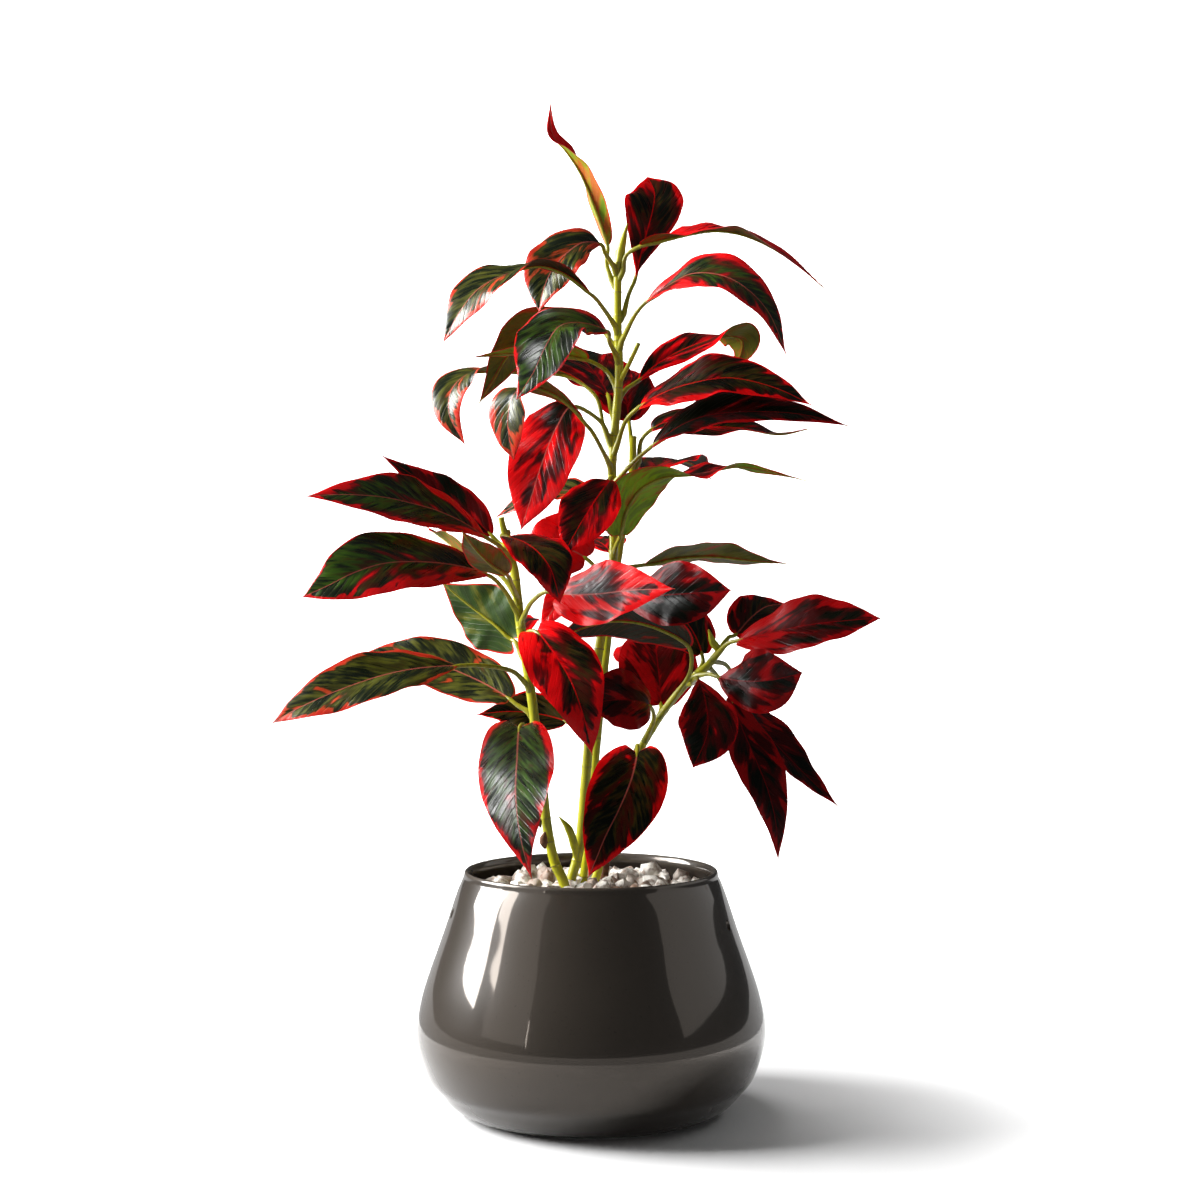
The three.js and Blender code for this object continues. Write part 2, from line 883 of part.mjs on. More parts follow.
// A closed body lofted through rings that all have the same number of points
function loft(rings, faces) {
  const positions = rings.flat().flatMap((p) => [p.x, p.y, p.z]);
  const geometry = new THREE.BufferGeometry();
  geometry.setAttribute("position", new THREE.Float32BufferAttribute(positions, 3));
  geometry.setIndex(faces);
  return geometry;
}

// Index triangles of a loft whose ring holds `sides` points, closed by two fans
function tubeFaces(rings, sides) {
  const faces = [];
  for (let i = 0; i < rings - 1; i += 1) {
    for (let j = 0; j < sides; j += 1) {
      const a = i * sides + j;
      const b = i * sides + ((j + 1) % sides);
      faces.push(a, b, b + sides, a, b + sides, a + sides);
    }
  }
  const last = (rings - 1) * sides;
  for (let j = 1; j < sides - 1; j += 1) {
    faces.push(0, j + 1, j, last, last + j, last + j + 1);
  }
  return faces;
}

// Index triangles of a blade: each ring holds the upper points, then the lower ones, and both
// sides are split along the same diagonals
function bladeFaces(rings) {
  const n = ACROSS.length;
  const ring = 2 * n;
  const faces = [];
  for (let i = 0; i < rings - 1; i += 1) {
    const near = i * ring;
    const far = near + ring;
    for (let j = 0; j < n - 1; j += 1) {
      const k = n + j;
      faces.push(near + j, near + j + 1, far + j + 1, near + j, far + j + 1, far + j);
      faces.push(near + k, far + k + 1, near + k + 1, near + k, far + k, far + k + 1);
    }
    faces.push(near, far, far + n, near, far + n, near + n);
    faces.push(near + n - 1, far + ring - 1, far + n - 1, near + n - 1, near + ring - 1, far + ring - 1);
  }
  const last = (rings - 1) * ring;
  for (let j = 0; j < n - 1; j += 1) {
    const k = n + j;
    faces.push(j, k, k + 1, j, k + 1, j + 1);
    faces.push(last + j, last + k + 1, last + k, last + j, last + j + 1, last + k + 1);
  }
  return faces;
}

// The line that a leaf's stalk and midrib follow, from just clear of its cane to the tip, and the
// share of it where the blade begins
function leafLine(leaf) {
  const { point, along, radius } = canePoint(leaf.cane, leaf.height);
  const place = ([x, z, depth]) => seen([x, z, depth * LEAF_REACH]);
  const stalk = leaf.stalk.map(place);
  const rib = leaf.rib.map(place);
  const heading = stalk[0].clone().sub(point).normalize();
  const away = heading.clone().addScaledVector(along, -heading.dot(along)).normalize();
  const inset = STALK_RADIUS * Math.sqrt(1 - heading.dot(away) ** 2);
  const start = point.clone().addScaledVector(away, radius + inset + STALK_GAP);
  return {
    curve: new THREE.CatmullRomCurve3([start, ...stalk, ...rib], false, "centripetal"),
    bladeStart: (1 + stalk.length) / (stalk.length + rib.length),
  };
}

// The ring of points round a leaf at one place: the upper side from edge to edge, then the lower
function leafRing(leaf, curve, along, t, isBlade) {
  const { broadest = BROADEST, lobes = LOBES } = leaf;
  const half = leaf.width / 2;
  const centre = curve.getPoint(along);
  const tangent = curve.getTangent(along);
  const up = upperSide(leaf.faces, t);
  up.addScaledVector(tangent, -up.dot(tangent)).normalize();
  const side = new THREE.Vector3().crossVectors(tangent, up);
  const spread = isBlade ? outline(t, broadest) : 0;
  const broad = Math.max(half * spread, t > 0.5 ? TIP_HALF_WIDTH : STALK_RADIUS);
  const flat = Math.min(1, spread / FULLY_FLAT);
  const upper = [];
  const lower = [];
  for (const u of ACROSS) {
    const edge = Math.abs(u);
    const wave = leaf.width * WAVE.height * Math.sin(t * WAVE.pace + (u > 0 ? 0 : WAVE.lag));
    const lift = broad * edge * Math.sin(leaf.fold) * (1 - CUP.depth * edge) * flat + wave * edge * spread;
    const reach = u * broad * (1 - CUP.narrowing * leaf.fold * edge);
    const lobe = half * HEART.depth * lobes * edge ** 1.5;
    const back = lobe * Math.max(0, 1 - t / HEART.end) ** 2 * flat;
    const round = Math.sqrt(1 - STALK_ROUNDNESS * edge ** 2) * STALK_RADIUS * (1 - flat);
    const rib = (1 - edge) ** 2 * RIB_DEPTH * (1 - RIB_TAPER * t);
    const base = centre
      .clone()
      .addScaledVector(side, reach)
      .addScaledVector(up, lift)
      .addScaledVector(tangent, -back);
    upper.push(base.clone().addScaledVector(up, round + (BLADE_THICKNESS / 2) * flat));
    lower.push(base.clone().addScaledVector(up, -round - (BLADE_THICKNESS / 2 + rib) * flat));
  }
  return [...upper, ...lower];
}

function leafGeometry(leaf) {
  const { curve, bladeStart } = leafLine(leaf);
  const rings = [];
  for (let i = 0; i < STALK_STEPS; i += 1) {
    rings.push(leafRing(leaf, curve, (bladeStart * i) / STALK_STEPS, 0, false));
  }
  for (const t of BLADE_STEPS) {
    rings.push(leafRing(leaf, curve, bladeStart + (1 - bladeStart) * t, t, true));
  }
  return loft(rings, bladeFaces(rings.length));
}

// A cane, or with extra radius the hole that it stands in
function caneGeometry(name, extra) {
  const curve = CANE_CURVES[name];
  const [foot, top] = CANES[name].radius;
  const steps = Math.round(CANES[name].path.length * CANE_RINGS_PER_POINT);
  const rings = [];
  const east = new THREE.Vector3(1, 0, 0);
  for (let i = 0; i <= steps; i += 1) {
    const t = i / steps;
    const tangent = curve.getTangent(t);
    const across = east.clone().addScaledVector(tangent, -east.dot(tangent)).normalize();
    const deep = new THREE.Vector3().crossVectors(tangent, across);
    const radius = foot + (top - foot) * t + extra;
    const ring = [];
    for (let j = 0; j < CANE_SIDES; j += 1) {
      const turn = (2 * Math.PI * j) / CANE_SIDES;
      ring.push(
        curve
          .getPoint(t)
          .addScaledVector(across, radius * Math.cos(turn))
          .addScaledVector(deep, radius * Math.sin(turn)),
      );
    }
    rings.push(ring);
  }
  if (extra > 0) {
    rings[0].forEach((p) => {
      p.z -= HOLE_OVERCUT;
    });
  }
  return loft(rings, tubeFaces(rings.length, CANE_SIDES));
}

// The pot's outer side from foot to lip as [radius, height], then the inner side as its offset
const POT_SIDE = [
  [FOOT_RADIUS, 0],
  [97.5, 6],
  [109.6, 18],
  [118, 30],
  [125, 57],
  [120, 86],
  [106, 127],
  [96, 157],
  [91, 169],
];

// A profile of [radius, height] points turned about the upright axis
function turned(profile, segments) {
  return new THREE.LatheGeometry(profile, segments).rotateX(Math.PI / 2);
}

function potSide(offset, steps, first) {
  const curve = new THREE.SplineCurve(POT_SIDE.map(([r, z]) => new THREE.Vector2(r, z)));
  const points = [];
  for (let i = 0; i <= steps; i += 1) {
    const t = first + ((1 - first) * i) / steps;
    const tangent = curve.getTangent(t);
    const p = curve.getPoint(t);
    points.push(new THREE.Vector2(p.x - tangent.y * offset, p.y + tangent.x * offset));
  }
  return points;
}

// The pot's hollow from its floor up, as [radius, height] points
function hollowSide() {
  const side = potSide(POT_WALL, POT_STEPS.inner, HOLLOW_START);
  return [new THREE.Vector2(HOLLOW_FLOOR_RADIUS, POT_FLOOR), ...side];
}

function potGeometry() {
  const outer = potSide(0, POT_STEPS.outer, 0);
  const inner = hollowSide().reverse();
  const lipFrom = outer[outer.length - 1];
  const lipTo = inner[0];
  const lip = new THREE.Vector2((lipFrom.x + lipTo.x) / 2, POT_HEIGHT);
  const shoulder = new THREE.Vector2(lipFrom.x - LIP_ROUND, POT_HEIGHT - 2 * LIP_ROUND);
  const inside = new THREE.Vector2(lipTo.x + LIP_ROUND, POT_HEIGHT - 2 * LIP_ROUND);
  const profile = [
    new THREE.Vector2(0, 0),
    ...outer,
    shoulder,
    lip,
    inside,
    ...inner,
    new THREE.Vector2(0, POT_FLOOR),
  ];
  return turned(profile, POT_SEGMENTS);
}

// What fills the hollow between two heights, clear of its wall
function fillGeometry(bottom, top) {
  const side = hollowSide();
  const radiusAt = (z) => {
    const above = Math.max(1, side.findIndex((p) => p.y >= z));
    const [from, to] = [side[above - 1], side[above]];
    return from.x + ((to.x - from.x) * (z - from.y)) / (to.y - from.y) - FILL_CLEARANCE;
  };
  const between = side.filter((p) => p.y > bottom && p.y < top).map((p) => p.y);
  const profile = [bottom, ...between, top].map((z) => new THREE.Vector2(radiusAt(z), z));
  return turned([new THREE.Vector2(0, bottom), ...profile, new THREE.Vector2(0, top)], POT_SEGMENTS);
}

// A geometry as a solid that can be joined and cut, and back again
function solid(geometry) {
  const bare = geometry.clone();
  bare.deleteAttribute("normal");
  bare.deleteAttribute("uv");
  const merged = mergeVertices(bare, 1e-3);
  return new wasm.Manifold(
    new wasm.Mesh({
      numProp: 3,
      vertProperties: merged.attributes.position.array,
      triVerts: new Uint32Array(merged.index.array),
    }),
  );
}

function geometryOf(made) {
  const mesh = made.getMesh();
  const geometry = new THREE.BufferGeometry();
  geometry.setAttribute("position", new THREE.BufferAttribute(mesh.vertProperties, 3));
  geometry.setIndex(new THREE.BufferAttribute(mesh.triVerts, 1));
  return geometry;
}

// A body with a plain hole for each cane, without the scraps that the holes cut off
function drillCanes(body) {
  let drilled = body;
  for (const name of Object.keys(CANES)) {
    drilled = drilled.subtract(solid(caneGeometry(name, CLEARANCE)));
  }
  return drilled.decompose().reduce((a, b) => (a.volume() > b.volume() ? a : b));
}

// Pebbles: seeded places on rings, each a squashed low ball sunk into the bed
const PEBBLE_SEED = 7;
const PEBBLE = { radius: 7, spread: 3, stretch: 0.3, squash: 0.62, rise: 0.8, scatter: 5 };
const PEBBLE_RINGS = [
  { radius: 15, count: 5 },
  { radius: 33, count: 9 },
  { radius: 51, count: 14 },
  { radius: 71, count: 19 },
];

const DRAW = { factor: 16807, modulus: 2147483647 };

function seededDraw(seed) {
  let state = seed;
  return () => {
    state = (state * DRAW.factor) % DRAW.modulus;
    return state / DRAW.modulus;
  };
}

function stonesSolid() {
  const draw = seededDraw(PEBBLE_SEED);
  let bed = solid(fillGeometry(SOIL_TOP + CLEARANCE, STONE_BED_TOP));
  for (const { radius, count } of PEBBLE_RINGS) {
    for (let i = 0; i < count; i += 1) {
      const turn = (2 * Math.PI * (i + 0.5 * draw())) / count;
      const out = radius + PEBBLE.scatter * (draw() - 0.5);
      const size = PEBBLE.radius + PEBBLE.spread * draw();
      const pebble = new THREE.IcosahedronGeometry(1, 0);
      pebble.scale(size * (1 + PEBBLE.stretch * draw()), size, size * PEBBLE.squash);
      pebble.rotateZ(Math.PI * draw());
      pebble.translate(
        out * Math.cos(turn),
        out * Math.sin(turn),
        STONE_BED_TOP + PEBBLE.rise + draw(),
      );
      bed = bed.add(solid(pebble));
    }
  }
  return drillCanes(bed);
}

// The young shoot at the main cane's foot, rooted in the cane
const SPROUT = {
  path: [[-10, 180, 0], [-11, 190, -7], [-15, 201, -10], [-23, 211, -10]],
  halfWidths: [1.2, 3.4, 3.2, 0.7],
  steps: 6,
  sides: 6,
  flatness: 0.4,
};

function sproutGeometry() {
  const curve = new THREE.CatmullRomCurve3(SPROUT.path.map(seen));
  const rings = [];
  for (let i = 0; i <= SPROUT.steps; i += 1) {
    const t = i / SPROUT.steps;
    const tangent = curve.getTangent(t);
    const up = new THREE.Vector3(0, -1, 0).addScaledVector(tangent, tangent.y).normalize();
    const side = new THREE.Vector3().crossVectors(up, tangent);
    const place = t * (SPROUT.halfWidths.length - 1);
    const from = Math.min(Math.floor(place), SPROUT.halfWidths.length - 2);
    const half = THREE.MathUtils.lerp(SPROUT.halfWidths[from], SPROUT.halfWidths[from + 1], place - from);
    const ring = [];
    for (let j = 0; j < SPROUT.sides; j += 1) {
      const turn = (2 * Math.PI * j) / SPROUT.sides;
      ring.push(
        curve
          .getPoint(t)
          .addScaledVector(side, half * Math.cos(turn))
          .addScaledVector(up, Math.max(BLADE_THICKNESS, half * SPROUT.flatness) * Math.sin(turn)),
      );
    }
    rings.push(ring);
  }
  return loft(rings, tubeFaces(rings.length, SPROUT.sides));
}

function material(color, roughness) {
  return new THREE.MeshStandardMaterial({ color, roughness, metalness: 0 });
}

function addPart(group, name, geometry, finish) {
  geometry.computeVertexNormals();
  const mesh = new THREE.Mesh(geometry, finish);
  mesh.name = name;
  group.add(mesh);
}

const plant = new THREE.Group();
addPart(plant, "pot", potGeometry(), material(0x4b4742, 0.25));
const soil = drillCanes(solid(fillGeometry(POT_FLOOR + CLEARANCE, SOIL_TOP)));
addPart(plant, "soil", geometryOf(soil), material(0x3a2a1c, 0.95));
addPart(plant, "stones", geometryOf(stonesSolid()), material(0xd9d5cc, 0.6));
const bark = material(0x7f8a3a, 0.5);
const mainCane = solid(caneGeometry("main", 0)).add(solid(sproutGeometry()));
addPart(plant, "cane_main", geometryOf(mainCane), bark);
for (const name of ["left", "right", "rear"]) {
  addPart(plant, `cane_${name}`, caneGeometry(name, 0), bark);
}
for (const leaf of LEAVES) {
  const { color, roughness } = TONES[leaf.tone];
  addPart(plant, leaf.name, leafGeometry(leaf), material(color, roughness));
}

export default plant;
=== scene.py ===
# A ti plant with broad red and green leaves on thin canes, in a round glazed pot topped with pebbles.
import json
import math
from typing import NamedTuple

import bmesh
import bpy
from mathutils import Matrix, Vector

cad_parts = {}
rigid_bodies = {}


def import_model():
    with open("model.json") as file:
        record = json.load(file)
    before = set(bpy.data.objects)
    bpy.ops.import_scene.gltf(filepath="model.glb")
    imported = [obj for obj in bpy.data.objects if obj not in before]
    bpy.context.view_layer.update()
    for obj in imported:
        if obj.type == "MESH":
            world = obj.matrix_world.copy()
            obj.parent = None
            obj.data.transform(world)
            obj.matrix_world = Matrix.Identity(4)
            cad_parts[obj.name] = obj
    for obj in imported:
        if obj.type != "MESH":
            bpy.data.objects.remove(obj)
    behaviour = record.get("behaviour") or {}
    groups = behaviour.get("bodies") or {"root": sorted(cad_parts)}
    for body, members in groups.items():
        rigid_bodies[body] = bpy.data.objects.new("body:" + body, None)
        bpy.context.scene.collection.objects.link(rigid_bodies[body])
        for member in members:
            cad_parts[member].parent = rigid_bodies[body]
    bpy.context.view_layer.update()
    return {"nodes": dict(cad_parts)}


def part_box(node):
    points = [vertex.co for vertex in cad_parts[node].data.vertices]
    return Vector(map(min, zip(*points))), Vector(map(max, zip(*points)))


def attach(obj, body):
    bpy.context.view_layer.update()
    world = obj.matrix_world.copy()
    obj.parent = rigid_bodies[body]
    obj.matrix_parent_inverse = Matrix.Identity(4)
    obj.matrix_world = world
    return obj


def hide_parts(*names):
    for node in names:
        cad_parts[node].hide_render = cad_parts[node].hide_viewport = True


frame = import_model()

bl_info = {
    "name": "Potted ti plant",
    "version": (1, 0, 0),
    "blender": (4, 5, 0),
    "location": "3D View > Sidebar > Ti plant",
    "description": "Grows a ti plant in a glazed pot with pebbles, and the studio that it stands in",
    "category": "Add Mesh",
}

# Sizes are in millimetres, and this turns them into metres
MM = 0.001

# The pot: its outer side from foot to lip as (radius, height)
POT_SIDE = [
    (80, 0), (97.5, 6), (109.6, 18), (118, 30), (125, 57), (120, 86), (106, 127), (96, 157), (91, 169),
]
# The radius of its hollow foot and of its floor inside
FOOT_HOLLOW = 60
INSIDE_FLOOR = 84
# Where the inside of the wall begins, as a share of the outer side, and the rings of both sides
INSIDE_START = 0.16
OUTSIDE_STEPS = 56
INSIDE_STEPS = 44
LIP_STEPS = 10
LIP_FLATNESS = 0.8
POT_SEGMENTS = 160
POT_EDGE_ANGLE = 40
SIDE_SAMPLES = 200
# Its two small holes as (azimuth, height), and how far outside the wall the middle of each lies
DIMPLES = [(math.radians(-19.5), 139), (math.radians(191), 145)]
DIMPLE_OUT = 1.2

# The pebbles: how far they stay from the wall, and how their bed lies and rises
PEBBLE_INSET = 14
BED_LIFT = 5
BED_RISE = 6.5
# The least and greatest share of a pebble's mean size, how it is squashed, the height of its lumps, and
# their scales with the share of that height for each
PEBBLE_SIZES = (0.72, 1.3)
PEBBLE_SQUASH = (1.0, 0.9, 0.72)
PEBBLE_LUMPS = 5.5
LUMP_SCALES = ((75.0, 1.5), (190.0, 0.8))
BED_SIDES = 48
MOST_PEBBLES = 40000.0

# The point that the plant is looked at from. Waypoints of canes and leaves are (x, z, depth): as they
# line up in the upright plane through the pot's axis, and the depth behind it.
EYE = {"x": 6.4, "distance": 1600, "height": 404}
# The picture: what the camera looks at, the width that it takes in there, and its sensor
LOOK_HEIGHT = 366
FRAME_WIDTH = 857
SENSOR_WIDTH = 36
# In metres
FAR_CLIP = 50

# The canes: the radius at the foot and at the top, and the way between them, down to the foot's height
CANE_FOOT = 112
# How often a cane's stretch is halved to find the place at a height
HALVINGS = 40
CANE_ROWS = 40
CANE_SIDES = 20
RING_WIDTH = 1.1
CANES = {
    "main": (
        (3.6, 2.9), [(-15, 161, 0), (-9, 185, 0), (-4, 237, -2), (1, 294, -4), (6, 333, -3), (12, 366, 0),
        (16, 397, 0), (16, 430, 2), (15, 458, 2), (17, 487, 0), (20, 527, 0), (19, 560, 0), (19, 596, 0),
        (20, 615, -2)]),
    "left": (
        (3.7, 3.2), [(-19, 161, -16), (-26, 178, -16), (-31, 201, -16), (-36, 244, -16), (-43, 300, -16),
        (-50, 345, -15), (-53, 372, -14), (-55, 388, -14), (-59, 401, -14), (-61, 416, -15)]),
    "right": (
        (3.2, 2.6), [(2, 161, 16), (5, 172, 15), (13, 203, 10), (24, 236, 6), (34, 257, 4), (51, 285, 2),
        (70, 308, 0), (82, 318, 0), (93, 331, 0)]),
    "rear": (
        (3.1, 2.6), [(-6, 161, 34), (-4, 178, 34), (2, 240, 36), (10, 320, 36), (20, 400, 34),
        (29, 453, 32), (30, 483, 32)]),
}

# What a stem without rings is given
RINGLESS = {"Node Spacing": 1.0, "Node Height": 0.0, "Ring Width": MM}

# Small parts of the canes: radius, waypoints, girths from end to end, and whether they are dead
SCRAP_ROWS = 24
SCRAP_SIDES = 12
SCRAPS = {
    "top_bud": (3.0, [(20, 606, -2), (22, 618, -3), (26, 634, -4)], [1.0, 1.1, 0.8, 0.12], False),
    "cut_stalk": (1.8, [(20, 521, 0), (27, 534, -6), (34, 549, -10)], [1.2, 0.9, 0.9, 0.95], False),
    "left_cut_end": (2.2, [(-61, 412, -16), (-63, 419, -18), (-64, 425, -19)], [1.2, 1.0, 0.9], False),
    "right_bud": (2.4, [(92, 330, 0), (87, 336, -4), (84, 345, -7)], [1.1, 1.2, 0.9, 0.2], False),
    "shoot_sheath": (
        1.8, [(-10, 178, 0), (-12, 190, -7), (-16, 202, -10), (-23, 211, -10)], [0.8, 1.7, 1.6, 0.2], False),
    "dead_sheath_low": (3.0, [(-33, 188, -21), (-34, 194, -22), (-33, 200, -23)], [0.3, 1, 0.9, 0.2], True),
    "dead_sheath_high": (
        2.6, [(-36, 203, -21), (-38, 209, -22), (-37, 217, -21)], [0.2, 1, 0.6, 0.2], True),
    "rear_bark": (3.6, [(9, 166, 30), (10, 180, 30), (9, 196, 31)], [0.9, 1, 0.9, 0.3], True),
}

# How much farther a leaf reaches in depth than its waypoints say
LEAF_REACH = 1.4
# The stalk of a leaf: the gap that it starts at beside its cane, its radius, how much thicker it is where it
# clasps the cane, and how far into the cane and below its start it is rooted
STALK_GAP = 0.5
STALK_RADIUS = 1.5
SHEATH = 0.7
ROOTED = 0.3
ROOT_DROP = 6
STALK_SIDES = 10
STALK_ROWS = 14

# The rules of a blade, shared with the plant's solids: where it is broadest, how it tapers to the tip, how
# pointed it stays, how far its lobes reach back, its wave, its cupped halves and its heart-shaped base
BROADEST = 0.38
TAPER = 2.1
POINTED = 1.15
LOBES = 0.5
WAVE = {"pace": 13.0, "lag": 1.7}
CUP = {"depth": 0.45, "narrowing": 0.12}
HEART = {"depth": 0.5, "end": 0.3}

# How a blade is drawn out finely: its rows and columns, its least half width, how soon its fold and lobes
# set in, the ruffles of its edge, the roundness of its lobes, and how much its side veins lean forward
BLADE_ROWS = 52
BLADE_COLUMNS = 17
COLUMN_CROWDING = 1.25
LEAST_HALF = 0.25
FOLD_ONSET = 3.0
RUFFLE_PACE = 31.0
RUFFLE_LAG = 2.3
LOBE_ROUNDING = 1.5
VEIN_SLANT = 1.6
# The midrib: the share of the blade in which it sinks below the upper side, how much it narrows to the tip
# and how soon, and the depth that it lies under
RIB_SINKS = 0.08
RIB_NARROWS = 0.86
RIB_EASE = 0.7
RIB_COVER = 0.05
# The swelling between two veins is a product that peaks at a quarter, and this raises it to the full height
QUILT_PEAK = 4.0
# From one leaf to the next, the patches and ruffles move on by this
SEED_STEP = 3.37

# The leaves that are waxy enough to mirror the overhead panel
WAXY_LEAVES = ("foliage_left_10", "foliage_main_12", "foliage_main_13")


class Leaf(NamedTuple):
    """A leaf: the cane and the height that it grows from, the width and fold of its blade, its tone in the
    part's list of materials (not used here), the looks of its upper side and underside, the share of the
    upper side that is flushed red, the waypoints of its stalk and its midrib, and the ways that the upper
    side looks from base to tip. Then how the flush grows from base to tip, the width of the red margin, how
    much wider that is on the right half, where the blade is broadest and how far its lobes reach back."""

    cane: str
    height: float
    width: float
    fold: float
    tone: str
    upper: str
    under: str
    flush: float
    stalk: list
    rib: list
    faces: list
    drift: float = 0.0
    margin: float = 2.0
    lean: float = 0.0
    broadest: float = BROADEST
    lobes: float = LOBES


